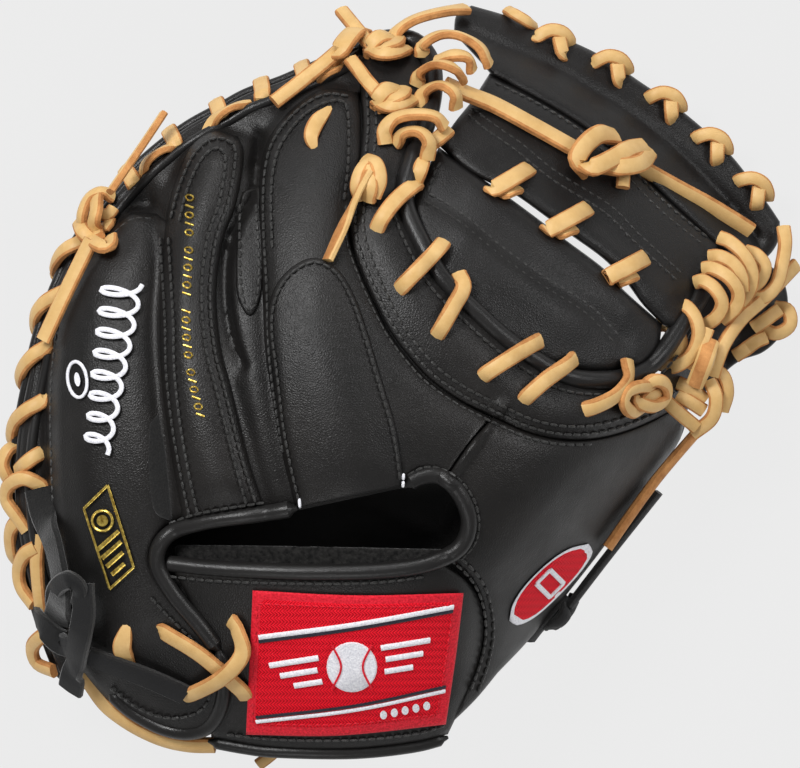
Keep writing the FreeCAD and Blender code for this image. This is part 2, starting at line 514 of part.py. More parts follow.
def piece_shapes():
    """Every node's solid or group of solids, by node name."""
    top = LEATHER
    overlay_low, overlay_high = top + CLEAR, top + CLEAR + OVERLAY
    lace = LACE_LIFT
    on_web = WEB_LACE_LIFT
    back_face, palm_face = (back_z, top + 1.7), (palm_z, -2.2)
    shapes = {}

    # Leather on the back of the hand.
    shapes["edge_panel"] = panel(EDGE_PANEL, back_z, 0, top, rows=26, columns=5)
    shapes["pinky_stall"] = panel(PINKY_STALL, back_z, 0, top, rows=18, columns=8)
    shapes["ring_stall"] = panel(RING_STALL, back_z, 0, top, rows=16, columns=6)
    shapes["middle_stall"] = panel(MIDDLE_STALL, back_z, 0, top, rows=16, columns=5)
    shapes["index_stall"] = panel(INDEX_STALL, back_z, 0, top, rows=18, columns=8)
    shapes["index_finger_pad"] = panel(INDEX_PAD, back_z, overlay_low, overlay_high, rows=10, columns=6)
    shapes["web_side_panel_fingers"] = panel(WEB_SIDE_FINGERS, back_z, 0, top, rows=22, columns=5)
    shapes["web_side_panel_thumb"] = panel(WEB_SIDE_THUMB, back_z, 0, top, rows=6, columns=10)
    shapes["thumb_root_panel"] = panel(THUMB_ROOT, back_z, 0, top, rows=14, columns=6)
    shapes["thumb_panel"] = panel(THUMB_PANEL, back_z, 0, top, rows=14, columns=8)
    shapes["back_lining"] = panel(BACK_LINING, back_z, -CLEAR - LINING, -CLEAR, rows=12, columns=8)

    # Wrist strap, its lining and what is sewn on it.
    shapes["wrist_strap"] = panel(STRAP, back_z, 0, top, rows=8, columns=12)
    shapes["strap_fur_lining"] = panel(STRAP, back_z, -CLEAR - 2 * LINING, -CLEAR, rows=8, columns=12, inset=0.05)
    shapes["strap_label"] = panel(LABEL, back_z, overlay_low, overlay_high, rows=6, columns=9)
    shapes["thumb_patch"] = panel(THUMB_PATCH, back_z, overlay_low, overlay_high, rows=5, columns=7)

    # Rolled bindings and welts.
    opening = (OPENING_LEFT, OPENING_RIGHT, OPENING_BOTTOM)
    shapes["hand_opening_binding"] = Part.makeCompound([roll(line, back_z, 1.5, BINDING) for line in opening])
    shapes["strap_hem_binding"] = roll(STRAP_HEM, back_z, 1.5, BINDING)
    shapes["heel_binding"] = roll(HEEL_HEM, back_z, 0.5, BINDING)
    shapes["outer_rim_welt"] = rim_welt(outer_welt_z)
    shapes["inner_rim_welt"] = rim_welt(inner_welt_z)
    shapes["web_base_welt_fingers"] = roll(BASE_WELT_FINGERS, back_z, 0.5, BINDING)
    shapes["web_base_welt_thumb"] = roll(BASE_WELT_THUMB, back_z, 0.5, BINDING)

    # Palm leather, padding and linings.
    shapes["palm_leather_fingers"] = filling(PALM_FINGERS, palm_z, leather_top_z, rows=32, columns=24)
    shapes["palm_leather_thumb"] = filling(PALM_THUMB, palm_z, leather_top_z, rows=20, columns=16)
    shapes["palm_pad_fingers"] = filling(PALM_FINGERS, pad_bottom_z, pad_z, rows=32, columns=24, inset=0.072)
    shapes["palm_pad_thumb"] = filling(PALM_THUMB, pad_bottom_z, pad_z, rows=20, columns=16, inset=0.045)
    lining_low = CLEAR + PAD_CLEAR
    thumb_lining_low = lining_low + 0.3
    shapes["hand_lining"] = panel(HAND_LINING, pad_z, lining_low, lining_low + LINING, rows=14, columns=10)
    shapes["thumb_lining"] = panel(THUMB_LINING, pad_z, thumb_lining_low, thumb_lining_low + LINING, rows=14,
                                   columns=12)

    # Web.
    web_low, web_high = -WEB_THICKNESS, 0.0
    shapes["web_lower_panel_fingers"] = panel(WEB_LOWER_FINGERS, web_z, web_low, web_high, rows=7, columns=10)
    shapes["web_lower_panel_thumb"] = panel(WEB_LOWER_THUMB, web_z, web_low, web_high, rows=6, columns=6)
    shapes["web_upper_panel_fingers"] = panel(WEB_UPPER_FINGERS, web_z, web_low, web_high, rows=7, columns=10)
    shapes["web_upper_panel_thumb"] = panel(WEB_UPPER_THUMB, web_z, web_low, web_high, rows=7, columns=7)
    shapes["web_top_bar_fingers"] = panel(TOP_BAR_FINGERS, web_z, web_low, web_high, rows=6, columns=10)
    shapes["web_top_bar_thumb"] = panel(TOP_BAR_THUMB, web_z, web_low, web_high, rows=6, columns=9)
    shapes["thumb_tip_tongue"] = panel(THUMB_TONGUE, tongue_level, 0, LEATHER, rows=5, columns=6)

    # Laces that hold the parts together.
    shapes["rim_lace_loops"] = rim_loops(spaced(FINGER_RIM[:-1], 40), LOOP_PITCH, back_face, palm_face)
    web_face, web_under = (web_z, 3.1), (web_z, -WEB_THICKNESS - 3.1)
    bar_left, bar_right = spaced(TOP_BAR_FINGERS["north"], 20), spaced(TOP_BAR_THUMB["north"][::-1], 20)
    shapes["top_bar_lace_fingers"] = rim_loops(bar_left, 10.0, web_face, web_under, stand=3.3)
    shapes["top_bar_lace_thumb"] = rim_loops(bar_right[::-1], 10.0, web_face, web_under, stand=3.3)
    base_ties = [[(-5, 53.5), (0, 61), (7, 65)], [(0.5, 33.5), (6.5, 40), (14.5, 47)],
                 [(12, 19), (16.5, 27), (22.5, 36.5)], [(28.5, 5), (36, 10.5), (45.5, 17.5)]]
    shapes["web_base_lace_fingers"] = Part.makeCompound([web_tie(*tie) for tie in base_ties])
    shapes["web_base_lace_thumb"] = Part.makeCompound([web_tie((63, -7.5), (71, -2), (76, 11.5))])
    shapes["web_tie_laces_fingers"] = Part.makeCompound([
        laid([(web_z, 32.5, 65, on_web), (web_z, 37.5, 68.5, on_web + 0.5), (web_z, 42, 72, on_web)]),
        laid([(web_z, 49.5, 51.5, on_web), (web_z, 55.5, 55, on_web + 0.5), (web_z, 61, 58.5, on_web)])])
    shapes["web_tie_lace_thumb"] = laid([(web_z, 72, 33, on_web), (web_z, 77, 38.5, on_web + 0.5),
                                         (web_z, 82, 43.5, on_web)])
    cross = [(16, 99.5), (30, 94), (44, 86.5), (56.5, 79)]
    shapes["web_cross_lace"] = laid([(web_z, x, y, on_web) for x, y in cross], width=6.5)
    knot = quad((59, 70), (76, 68), (77, 80), (60, 82))
    shapes["web_cross_knot"] = panel(knot, web_z, 2.2, 9.6, rows=4, columns=5)
    tail = [(79.5, 71.5), (91, 65), (104, 58.5), (117, 51)]
    shapes["web_cross_tail"] = laid([(web_z, x, y, on_web + 0.3) for x, y in tail], TAIL_WIDTH, TAIL_THICKNESS)
    index_lace = []
    for (ax, ay), (bx, by), (cx, cy) in [((-8, 106), (6, 112), (17, 113)), ((-8, 95), (6, 101), (21, 103)),
                                         ((-9, 85), (5, 91), (20, 95.5)), ((-9, 74), (3, 80), (14, 84))]:
        index_lace.append(laid([(back_z, ax, ay, lace), (web_z, bx, by, 5.0), (web_z, cx, cy, 3.8)]))
    shapes["web_index_lace"] = Part.makeCompound(index_lace)
    shapes["web_thumb_lace"] = Part.makeCompound([
        free([(98, 40, 44), (106, 31, 42), (103, 19, 43)], up=(1, 0, 1)),
        free([(106, 44, 38), (114, 35, 36), (111, 22, 38)], up=(1, 0, 1)),
        free([(116, 40, 30), (122, 34, 29), (119, 24, 31)], up=(1, 0, 1)),
        free([(125, 43, 22), (129, 33, 22), (124, 22, 24)], up=(1, 0, 1)),
        free([(104, 12, 42), (103, 2, 40), (107, -6, 36), (102, -13, 33)], up=(1, 0, 1))])
    shapes["thumb_lace_knot"] = panel(quad((78, -9), (89, -5), (91, 2), (79, 0)), back_z, 3.6, 9, rows=4, columns=5)
    shapes["fingertip_knots"] = Part.makeCompound([
        panel(quad((-20, 104), (-15, 103), (-15, 110), (-21, 110)), back_z, 3.6, 9, rows=4, columns=4),
        panel(quad((-12, 87.5), (-4, 87), (-4, 90), (-12, 91)), back_z, 6.2, 10, rows=4, columns=4),
        panel(quad((-15.5, 63), (-7, 63), (-6, 72), (-14, 73)), back_z, 5.9, 10, rows=4, columns=4)])
    shapes["finger_knot"] = panel(quad((-103, 53), (-97, 54), (-96, 61), (-101, 62)), back_z, 6.2, 11, rows=4,
                                  columns=4)

    # Heel laces and wrist-adjusting thongs.
    shapes["strap_cross_lace"] = Part.makeCompound([
        laid([(back_z, -79, -82, lace), (back_z, -66, -90.5, lace + 3.2), (back_z, -54, -102, lace + 0.5)],
             width=5.5),
        laid([(back_z, -53.5, -83, lace), (back_z, -59, -96, lace + 6.4), (back_z, -70, -103, lace)],
             width=5.5)])
    shapes["heel_lace"] = Part.makeCompound([
        laid([(back_z, -90.5, -82, lace), (back_z, -91, -90, lace), (back_z, -90, -95, lace)]),
        free([(-58, -126.2, 38), (-48, -126.4, 37), (-39, -126.2, 38)], up=(0, -1, 0.25))])
    shapes["pinky_thong"] = Part.makeCompound([
        laid([(back_z, -120, -38, 7.4), (back_z, -117, -55, 7.4), (back_z, -114, -72, 7.4)], width=6.5),
        laid([(back_z, -102, -95.5, lace), (back_z, -92, -99, lace), (back_z, -78, -103.5, lace)], width=6.5)])
    shapes["pinky_thong_knot"] = panel(quad((-115, -92), (-105, -93), (-105, -76), (-115, -76)), back_z, 7.0, 12.5,
                                       rows=5, columns=4)
    shapes["thumb_thong_knot"] = panel(quad((47, -84.5), (56, -76), (58.5, -79), (50, -87.5)), thong_level, 0, 6,
                                       rows=4, columns=4)

    # Loose ends of the laces.
    for name, (up, points) in LOOSE_ENDS.items():
        shapes[name] = free(points, TAIL_WIDTH, TAIL_THICKNESS, up)
    thumb_tail = [(95.5, -13.5), (86, -24), (76.5, -36), (65.5, -52)]
    shapes["thumb_lace_tail"] = laid([(back_z, x, y, 5.2) for x, y in thumb_tail], TAIL_WIDTH, TAIL_THICKNESS)
    return shapes


def web_tie(*stops):
    """A tie from the leather beside the web, over the welt, on to the web."""
    (ax, ay), (bx, by), (cx, cy) = stops
    return laid([(back_z, ax, ay, LACE_LIFT), (back_z, bx, by, LACE_LIFT + 0.6), (web_z, cx, cy, WEB_LACE_LIFT + 0.4)])


def tongue_level(x, y):
    """Height of the leather tongue beyond the tip of the thumb, under the laces there."""
    return 17.0 - 0.35 * (x - 110)


def thong_level(x, y):
    """Height of the thumb thong's knot, outside the thumb."""
    return 22.0


# Each loose end: the way its flat side faces, and the points that it runs through.
LOOSE_ENDS = {
    "finger_lace_tail": ((-0.3, 0.1, 1), [(-96.5, 64, 72), (-90, 73.5, 68), (-84.5, 81.5, 63), (-79, 90, 58)]),
    "rim_lace_tail": ((-1, 0.3, 1), [(-106.5, 48, 71), (-113, 38, 69), (-118.5, 27, 68), (-121, 14, 67)]),
    "thumb_thong_tail": ((1, -0.8, 0.3), [(58.5, -76, 25), (67.5, -63, 25), (77.5, -49, 26), (87, -36.5, 28)]),
}

if __name__ == "__main__":
    os.makedirs("parts", exist_ok=True)
    for node, shape in piece_shapes().items():
        shape.exportStep("parts/" + node + ".step")
        solids = len(shape.Solids)
        print(node, solids, "solids", round(shape.Volume), "mm3", "valid" if shape.isValid() else "NOT VALID")
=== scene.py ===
"""Looks of a left-hand catcher's mitt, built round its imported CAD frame.

Lengths are in millimetres in the frame's axes, and become metres where a mesh is made.
"""
import bpy
import math
import numpy as np
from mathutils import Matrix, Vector
from mathutils.geometry import delaunay_2d_cdt


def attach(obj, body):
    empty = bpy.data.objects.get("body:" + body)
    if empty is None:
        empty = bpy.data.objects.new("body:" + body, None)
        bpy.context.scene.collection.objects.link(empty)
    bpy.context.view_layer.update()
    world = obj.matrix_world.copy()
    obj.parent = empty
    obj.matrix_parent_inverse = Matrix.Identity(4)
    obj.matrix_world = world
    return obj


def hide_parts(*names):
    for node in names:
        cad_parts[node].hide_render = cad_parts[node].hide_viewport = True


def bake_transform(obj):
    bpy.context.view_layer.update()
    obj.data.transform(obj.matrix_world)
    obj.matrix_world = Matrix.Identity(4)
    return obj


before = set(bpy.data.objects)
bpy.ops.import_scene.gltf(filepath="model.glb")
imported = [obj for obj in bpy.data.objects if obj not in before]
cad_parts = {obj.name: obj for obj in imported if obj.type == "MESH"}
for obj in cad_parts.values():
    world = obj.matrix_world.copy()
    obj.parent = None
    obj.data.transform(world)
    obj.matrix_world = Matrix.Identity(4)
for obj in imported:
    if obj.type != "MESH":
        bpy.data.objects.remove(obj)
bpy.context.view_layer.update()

MM = 0.001
# The back of the mitt is a dome, as in the CAD; its thumb side rolls over towards the palm.
DOME_RADIUS = 164.0
DOME_TOP = 98.0
DOME_CENTRE = (-15.0, -15.0)
THUMB_EDGE_POINT = (65.1, -53.4)
THUMB_EDGE_NORMAL = (0.768, -0.640)
THUMB_ROLL_BAND = 45.0
THUMB_ROLL_DROP = 38.0
THUMB_HEEL_END = (17.0, -116.0)
HEEL_ROLL_SHARE = 0.2
HEEL_ROLL_LENGTH = 50.0
# The web flattens out just above the floor.
WEB_LOW = 14.0
WEB_SOFTNESS = 12.0
WEB_STEP = 2.0
WEB_THICKNESS = 5.6
# The palm is a pocket inside a ring that the mitt rests on.
POCKET_CENTRE = (45.0, 10.0)
POCKET_HEIGHT = 66.0
RING_SHARE = 0.8
RIM_THICKNESS = 13.0
WEB_EDGE_THICKNESS = 18.0
WEB_EDGE_REACH = 30.0
WRIST_X = -24.0
WRIST_REACH = 42.0
WRIST_EDGE_HEIGHT = 14.0
NOTCH_HEIGHT = 22.0
NOTCH_WIDTH = 16.0
# The mitt folds about a line from the heel to the top of the web; pieces that reach into the band are baked
# in place and hang on neither body.
FOLD_HEEL = (23.0, -120.0)
FOLD_TOP = (80.0, 101.0)
FOLD_BAND = 34.0
FOLD_HEIGHT = 11.0
# Leather and lace.
LEATHER = 3.0
LACE = 5.6
LACE_THICKNESS = 2.1
THICK_LACE = 2.6
STITCH_PITCH = 3.0
FINE = 1.4


# ---- Plan curves -----------------------------------------------------------------------------------
def smooth(points, step=1.5):
    """Evenly spaced points of a smooth curve through the given ones."""
    points = np.asarray(points, float)
    if len(points) == 2:
        dense = points
    else:
        ends = np.vstack([2 * points[0] - points[1], points, 2 * points[-1] - points[-2]])
        t = np.linspace(0, 1, 12, endpoint=False)[:, None]
        spans = []
        for a, b, c, d in zip(ends, ends[1:], ends[2:], ends[3:]):
            spans.append(0.5 * (2 * b + (c - a) * t + (2 * a - 5 * b + 4 * c - d) * t ** 2
                + (3 * b - a - 3 * c + d) * t ** 3))
        dense = np.vstack(spans + [points[-1:]])
    return spaced(dense, step)


def spaced(line, step):
    """Evenly spaced points along a broken line."""
    run = np.concatenate([[0], np.cumsum(np.linalg.norm(np.diff(line[:, :3], axis=0), axis=1))])
    count = max(2, int(round(run[-1] / step)) + 1)
    stops = np.linspace(0, run[-1], count)
    return np.stack([np.interp(stops, run, line[:, axis]) for axis in range(line.shape[1])], axis=1)


def outline(*sides, step=1.6):
    """A closed outline whose sides are smooth and meet at corners."""
    return np.vstack([smooth(side, step)[:-1] for side in sides])


def left_of(line, distance):
    """A plan line moved to its left by a distance, which may vary along it."""
    along = np.gradient(line, axis=0)
    along /= np.linalg.norm(along, axis=1)[:, None]
    return line + np.stack([-along[:, 1], along[:, 0]], axis=1) * np.reshape(distance, (-1, 1))


def distance(x, y, line, closed=False):
    """Distance in plan from each point to a broken line."""
    ends = np.vstack([line, line[:1]]) if closed else np.asarray(line, float)
    best = np.full(np.shape(x), 1e9)
    for (ax, ay), (bx, by) in zip(ends, ends[1:]):
        dx, dy = bx - ax, by - ay
        share = np.clip(((x - ax) * dx + (y - ay) * dy) / (dx * dx + dy * dy + 1e-12), 0, 1)
        best = np.minimum(best, (x - ax - share * dx) ** 2 + (y - ay - share * dy) ** 2)
    return np.sqrt(best)


def inside(x, y, loop):
    """Which points lie inside a plan outline."""
    hit = np.zeros(np.shape(x), bool)
    for (ax, ay), (bx, by) in zip(loop, np.roll(loop, -1, axis=0)):
        if ay != by:
            hit ^= ((ay > y) != (by > y)) & (x < (bx - ax) * (y - ay) / (by - ay) + ax)
    return hit


def ramp(value):
    """Rises smoothly from 0 to 1 as the value does."""
    value = np.clip(value, 0, 1)
    return value * value * (3 - 2 * value)


# ---- Outlines --------------------------------------------------------------------------------------
FINGER_RIM = [(-112, -99), (-119, -80), (-124.5, -60), (-127.5, -40), (-127, -20), (-123.5, 0), (-119, 19),
    (-112, 37), (-106, 49), (-97, 61), (-88, 71), (-79, 79), (-70, 85.5), (-60, 91), (-51, 96), (-40, 100),
    (-32, 103.5), (-20, 109), (-12.5, 113.5)]
HEEL_RIM = [(25, -105), (10, -115), (-16, -118), (-50, -117), (-80, -112), (-100, -103), (-112, -99)]
THUMB_OUTER = [(32.7, -96.5), (42.5, -86.4), (54.8, -71.8), (67.6, -55.5), (81.3, -36.5), (94, -18.4)]
THUMB_RIM = [(98.5, 8), (97, -7)] + THUMB_OUTER[::-1] + [(25, -105)]
WEB_RIM = [(-12.5, 113.5), (-3, 115), (24, 126.5), (50, 117.5), (66, 110.5), (93, 92.5), (110, 77.5),
    (127, 54.5), (120, 35), (98.5, 8)]
WEB_BASE = [(-4, 112), (-6.5, 82), (-4, 68), (-2, 56), (4, 44), (13, 31.5), (24, 20), (36, 9.5), (45, 3),
    (53, -1.5), (63, -3.5), (75, -4), (86, -1), (93, 4), (99, 9)]
WEB_ROLL = [(-14, 112.5), (-4, 115.5), (5, 114.5), (10.5, 107), (11, 97), (8.5, 86), (4.5, 76), (2, 67),
    (2, 58.5), (7, 47), (14, 35), (24, 25), (35, 15), (45, 8), (54, 3), (63, 1.2), (72, 1.6), (81, 4.5),
    (88, 11), (94, 20), (100, 29), (103, 38)]
INDEX_SEAM = [(-12.5, 112), (-13, 98), (-12.5, 86), (-14, 72), (-16.5, 60), (-16.5, 49), (-13, 38),
    (-8, 26.5), (-3, 17), (3, 9), (10, 1.5), (20, -5.5), (31, -11)]
THUMB_SEAM = [(31, -11), (42, -16), (53, -18.5), (64, -18.5), (75, -16), (87, -11), (97, -5)]
PINCHED_SEAM = [(33.5, -7), (25, -19), (16.5, -31)]
STRAP_ARC = [(16, -58), (23, -64.5), (27, -72), (28.5, -82), (27, -92), (23.5, -102), (18, -112.5)]
MIDDLE_VALLEY = [(-47.5, 82), (-48, 66), (-52, 57), (-57, 45), (-57.8, 30), (-56, 17), (-52, 6)]
OPENING_LEFT = [(-60, -89), (-67, -80), (-76, -69), (-81, -59), (-77.5, -50.5), (-66, -46), (-45, -43),
    (-34, -41.2)]
OPENING_RIGHT = [(1, -34), (6, -31.2), (12, -30.2), (17, -33), (21, -38.5), (23, -45.5), (21.5, -52),
    (17, -56.5), (7, -60.3), (-8, -62.2), (-30, -62.6), (-50, -62), (-66, -61), (-79.5, -59.5)]
PAD_BOTTOM = [(-34, -41), (-15, -37), (1, -33.5)]


# ---- Surfaces --------------------------------------------------------------------------------------
def dome(x, y):
    reach = np.minimum(np.hypot(x - DOME_CENTRE[0], y - DOME_CENTRE[1]), DOME_RADIUS * 0.98)
    return DOME_TOP - DOME_RADIUS + np.sqrt(DOME_RADIUS ** 2 - reach ** 2)


def back_z(x, y):
    """Underside of the leather on the back, as in the CAD."""
    beyond = (x - THUMB_EDGE_POINT[0]) * THUMB_EDGE_NORMAL[0] + (y
        - THUMB_EDGE_POINT[1]) * THUMB_EDGE_NORMAL[1]
    share = np.clip((beyond + THUMB_ROLL_BAND) / THUMB_ROLL_BAND, 0, 1.2)
    along = (THUMB_HEEL_END[1] - y) * -THUMB_EDGE_NORMAL[0] - (x - THUMB_HEEL_END[0]) * THUMB_EDGE_NORMAL[1]
    growth = HEEL_ROLL_SHARE + (1 - HEEL_ROLL_SHARE) * ramp(along / HEEL_ROLL_LENGTH)
    return dome(x, y) - THUMB_ROLL_DROP * growth * share ** 2.2


def web_z(x, y):
    """Top of the web, which flattens out just above the floor."""
    height = dome(x, y)
    return (height + WEB_LOW + np.sqrt((height - WEB_LOW) ** 2 + WEB_SOFTNESS ** 2)) / 2 - WEB_STEP


def fold_x(y):
    """Where the fold lies across the mitt, at a given y."""
    return FOLD_HEEL[0] + (y - FOLD_HEEL[1]) * (FOLD_TOP[0] - FOLD_HEEL[0]) / (FOLD_TOP[1] - FOLD_HEEL[1])


def palm_z(x, y):
    """Lower face of the palm leather, as in the CAD."""
    rim = FINGER_RIM + WEB_RIM[1:] + THUMB_RIM[1:] + HEEL_RIM[1:]
    dx = np.where(np.abs(x - POCKET_CENTRE[0]) < 0.01, 0.01, x - POCKET_CENTRE[0])
    dy = y - POCKET_CENTRE[1]
    farthest = np.full(np.shape(x), 1e-6)
    for (ax, ay), (bx, by) in zip(rim, rim[1:]):
        ex, ey = bx - ax, by - ay
        cross = dx * ey - dy * ex
        cross = np.where(np.abs(cross) < 1e-9, 1e-9, cross)
        along = ((ax - POCKET_CENTRE[0]) * ey - (ay - POCKET_CENTRE[1]) * ex) / cross
        across = ((ax - POCKET_CENTRE[0]) * dy - (ay - POCKET_CENTRE[1]) * dx) / cross
        hit = (along > 0) & (across >= -1e-6) & (across <= 1 + 1e-6)
        farthest = np.where(hit, np.maximum(farthest, along), farthest)
    share = np.minimum(1.0, 1 / farthest)
    edge_x, edge_y = POCKET_CENTRE[0] + dx * farthest, POCKET_CENTRE[1] + dy * farthest
    pocket = POCKET_HEIGHT * (1 - np.minimum(1, share / RING_SHARE) ** 3) ** 1.5
    edge = back_z(edge_x, edge_y) - RIM_THICKNESS
    near_wrist = np.exp(-((edge_x - WRIST_X) / WRIST_REACH) ** 4) * ramp((-85 - edge_y) / 20)
    edge += (WRIST_EDGE_HEIGHT - edge) * near_wrist
    height = np.where(share < RING_SHARE, pocket, edge * ((share - RING_SHARE) / (1 - RING_SHARE)) ** 2)
    near_web = np.exp(-(distance(x, y, WEB_BASE) / WEB_EDGE_REACH) ** 2)
    height = height + (back_z(x, y) - WEB_EDGE_THICKNESS - height) * near_web
    near_fold = np.exp(-((x - fold_x(y)) / NOTCH_WIDTH) ** 2) * ramp((-50 - y) / 20)
    return height + np.maximum(0, NOTCH_HEIGHT - height) * near_fold


class Field:
    """A surface's heights on a fine grid, read back anywhere between its points."""

    def __init__(self, height, lines=(), pitch=0.8, reach=144.0):
        self.pitch, self.low = pitch, -reach
        ticks = np.arange(-reach, reach + pitch, pitch)
        x, y = np.meshgrid(ticks, ticks, indexing="ij")
        self.z = height(x, y)
        for line, rise, width in lines:
            self.press(x, y, smooth(line, 4.0), rise, width)
        self.slope_x, self.slope_y = np.gradient(self.z, pitch)

    def press(self, x, y, line, rise, width):
        """Raises a ridge, or sinks a valley, along a line."""
        low, high = line.min(axis=0) - 3 * width, line.max(axis=0) + 3 * width
        near = (x > low[0]) & (x < high[0]) & (y > low[1]) & (y < high[1])
        self.z[near] += rise * np.exp(-(distance(x[near], y[near], line) / width) ** 2)

    def read(self, grid, x, y):
        u = np.clip((np.asarray(x, float) - self.low) / self.pitch, 0, grid.shape[0] - 1.001)
        v = np.clip((np.asarray(y, float) - self.low) / self.pitch, 0, grid.shape[1] - 1.001)
        i, j = u.astype(int), v.astype(int)
        u, v = u - i, v - j
        return (grid[i, j] * (1 - u) * (1 - v) + grid[i + 1, j] * u * (1 - v) + grid[i,
            j + 1] * (1 - u) * v + grid[i + 1, j + 1] * u * v)

    def normal(self, x, y):
        slope_x, slope_y = self.read(self.slope_x, x, y), self.read(self.slope_y, x, y)
        normal = np.stack([-slope_x, -slope_y, np.ones_like(slope_x)], axis=-1)
        return normal / np.linalg.norm(normal, axis=-1)[..., None]

    def at(self, x, y, lift=0.0):
        """Points over their own plan places, as far above the surface as the lift says."""
        rise = np.reshape(lift, -1) / np.maximum(np.reshape(self.normal(x, y)[..., 2], -1), 0.6)
        return np.stack([np.ravel(x) + 0 * rise, np.ravel(y) + 0 * rise,
            np.ravel(self.read(self.z, x, y)) + rise], axis=-1)

    def beyond(self, x, y, lift):
        """A point that stands off the surface squarely."""
        point = np.array([x, y, float(self.read(self.z, x, y))])
        return tuple(point + np.ravel(self.normal(x, y)) * lift)


# Ridges and valleys of the back: each line, how far it rises, and how wide it spreads.
BACK_RELIEF = [
    ([(-99, 36), (-104, 12), (-104, -18), (-99, -52), (-92, -78)], 4.5, 13),
    ([(-63, 73), (-68, 48), (-69.5, 20), (-67, -8), (-61, -32)], 3.0, 8),
    ([(-28, 88), (-30, 60), (-29, 30), (-24, 0), (-17, -26)], 2.4, 13),
    ([(-83, 62), (-79.5, 45), (-80.5, 22), (-79.5, 2), (-78, -14), (-76, -30), (-75, -44)], -4.5, 5.5),
    ([(-50, 84), (-52, 64), (-59, 47), (-61, 30), (-58.5, 12), (-55, -2), (-51.5, -14), (-48, -27),
     (-44, -40)], -2.6, 5), (MIDDLE_VALLEY, -3.0, 2.4),
    ([(-46, 80), (-47, 62), (-46, 45), (-45, 30), (-44, 12), (-42, -6), (-39, -24), (-35, -38)], -1.8, 4),
     (INDEX_SEAM, -1.6, 4.5), (THUMB_SEAM, -1.2, 4.0), (PINCHED_SEAM, 2.0, 1.5),
    ([(-84, 59), (-90, 58.5), (-98, 51.5), (-106, 42), (-112, 31), (-116, 20), (-118.5, 0), (-118.5, -25),
     (-117, -50), (-113.5, -75), (-110, -92)], -3.4, 3.4),
    ([(-78, 55), (-76, 68), (-70, 80), (-62, 85.5), (-54, 83.5)], -2.2, 3.5),
    ([(-48, 72), (-45, 82), (-39, 91), (-31, 97.5), (-23, 100), (-15, 98)], -2.2, 3.5),
     (STRAP_ARC, -1.4, 3), (WEB_ROLL[8:18], -2.5, 6),
    ([(-9, 104), (-9, 88), (-9, 72), (-9, 58), (-4, 44), (5, 31), (16, 18), (30, 5), (48, -8), (70, -11)],
     1.5, 7),
    ([(45, -40), (60, -30), (76, -24)], 2.0, 16),]
WEB_RELIEF = [
    ([(20, 119), (35, 112), (50, 106), (60, 100), (75, 91), (90, 80), (105, 66), (115, 56), (120, 48)],
     -2.2, 2.2),
    ([(36, 69), (50, 59.5), (62, 50.5), (75, 40), (88, 29)], 1.6, 4),
    ([(30, 110), (50, 101), (70, 88), (90, 73), (108, 56)], -0.8, 5),
    ([(9, 62), (21, 55), (34, 44), (48, 34), (63, 24.5), (74, 14.5)], -1.0, 3),
    ([(24, 48), (40, 36), (56, 24)], 2.0, 9),
    ([(26, 65), (42, 53), (60, 40), (76, 26)], 2.4, 6),]
back = Field(back_z, BACK_RELIEF)
web = Field(web_z, WEB_RELIEF)
palm = Field(palm_z)


# ---- Meshes ----------------------------------------------------------------------------------------
class Builder:
    """Gathers points and faces, and makes one object of them."""

    def __init__(self):
        self.points, self.faces, self.kinds, self.count = [], [], [], 0

    def add(self, points, faces, kinds):
        self.points.append(np.asarray(points, float))
        self.faces.extend([tuple(index + self.count for index in face) for face in faces])
        self.kinds.extend(kinds if isinstance(kinds, list) else [kinds] * len(faces))
        self.count += len(points)

    def sweep(self, path, ups, section, kinds, caps=0):
        """Carries a section (across, up) along a path; kinds has one material index per side."""
        along = np.gradient(path, axis=0)
        along /= np.linalg.norm(along, axis=1)[:, None]
        across = np.cross(along, ups)
        across /= np.linalg.norm(across, axis=1)[:, None]
        up = np.cross(across, along)
        section = np.broadcast_to(section, (len(path),) + np.shape(section)[-2:])
        rings = path[:, None] + across[:, None] * section[..., :1] + up[:, None] * section[..., 1:]
        size = section.shape[1]
        faces, face_kinds = [], []
        for row in range(len(path) - 1):
            for side in range(size):
                a, b = row * size + side, row * size + (side + 1) % size
                faces.append((a, b, b + size, a + size))
                face_kinds.append(kinds[side % len(kinds)])
        faces.append(tuple(range(size))[::-1])
        faces.append(tuple(range((len(path) - 1) * size, len(path) * size)))
        self.add(rings.reshape(-1, 3), faces, face_kinds + [caps, caps])

    def make(self, name, materials, sharp=40.0):
        mesh = bpy.data.meshes.new(name)
        mesh.from_pydata((np.vstack(self.points) * MM).tolist(), [], self.faces)
        for material in materials:
            mesh.materials.append(material)
        mesh.polygons.foreach_set("material_index", self.kinds)
        mesh.shade_smooth()
        mesh.set_sharp_from_angle(angle=math.radians(sharp))
        mesh.update()
        piece = bpy.data.objects.new(name, mesh)
        bpy.context.scene.collection.objects.link(piece)
        return piece


def place(piece, nodes=(), body=None):
    """Hangs a piece on its body, or bakes it in place on neither side when it reaches into the fold's band,
    and takes it for CAD nodes.
    """
    along = Vector((FOLD_TOP[0] - FOLD_HEEL[0], FOLD_TOP[1] - FOLD_HEEL[1], 0)).normalized()
    across = Vector((along.y, -along.x, 0))
    middle = Vector(((FOLD_HEEL[0] + FOLD_TOP[0]) / 2, (FOLD_HEEL[1] + FOLD_TOP[1]) / 2, FOLD_HEIGHT))
    sides = [(vertex.co / MM - middle).dot(across) for vertex in piece.data.vertices]
    if body:
        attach(piece, body)
    elif max(sides) < -FOLD_BAND:
        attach(piece, "hand")
    elif min(sides) > FOLD_BAND:
        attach(piece, "thumb")
    else:
        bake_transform(piece)
    if nodes:
        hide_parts(*nodes)
    return piece


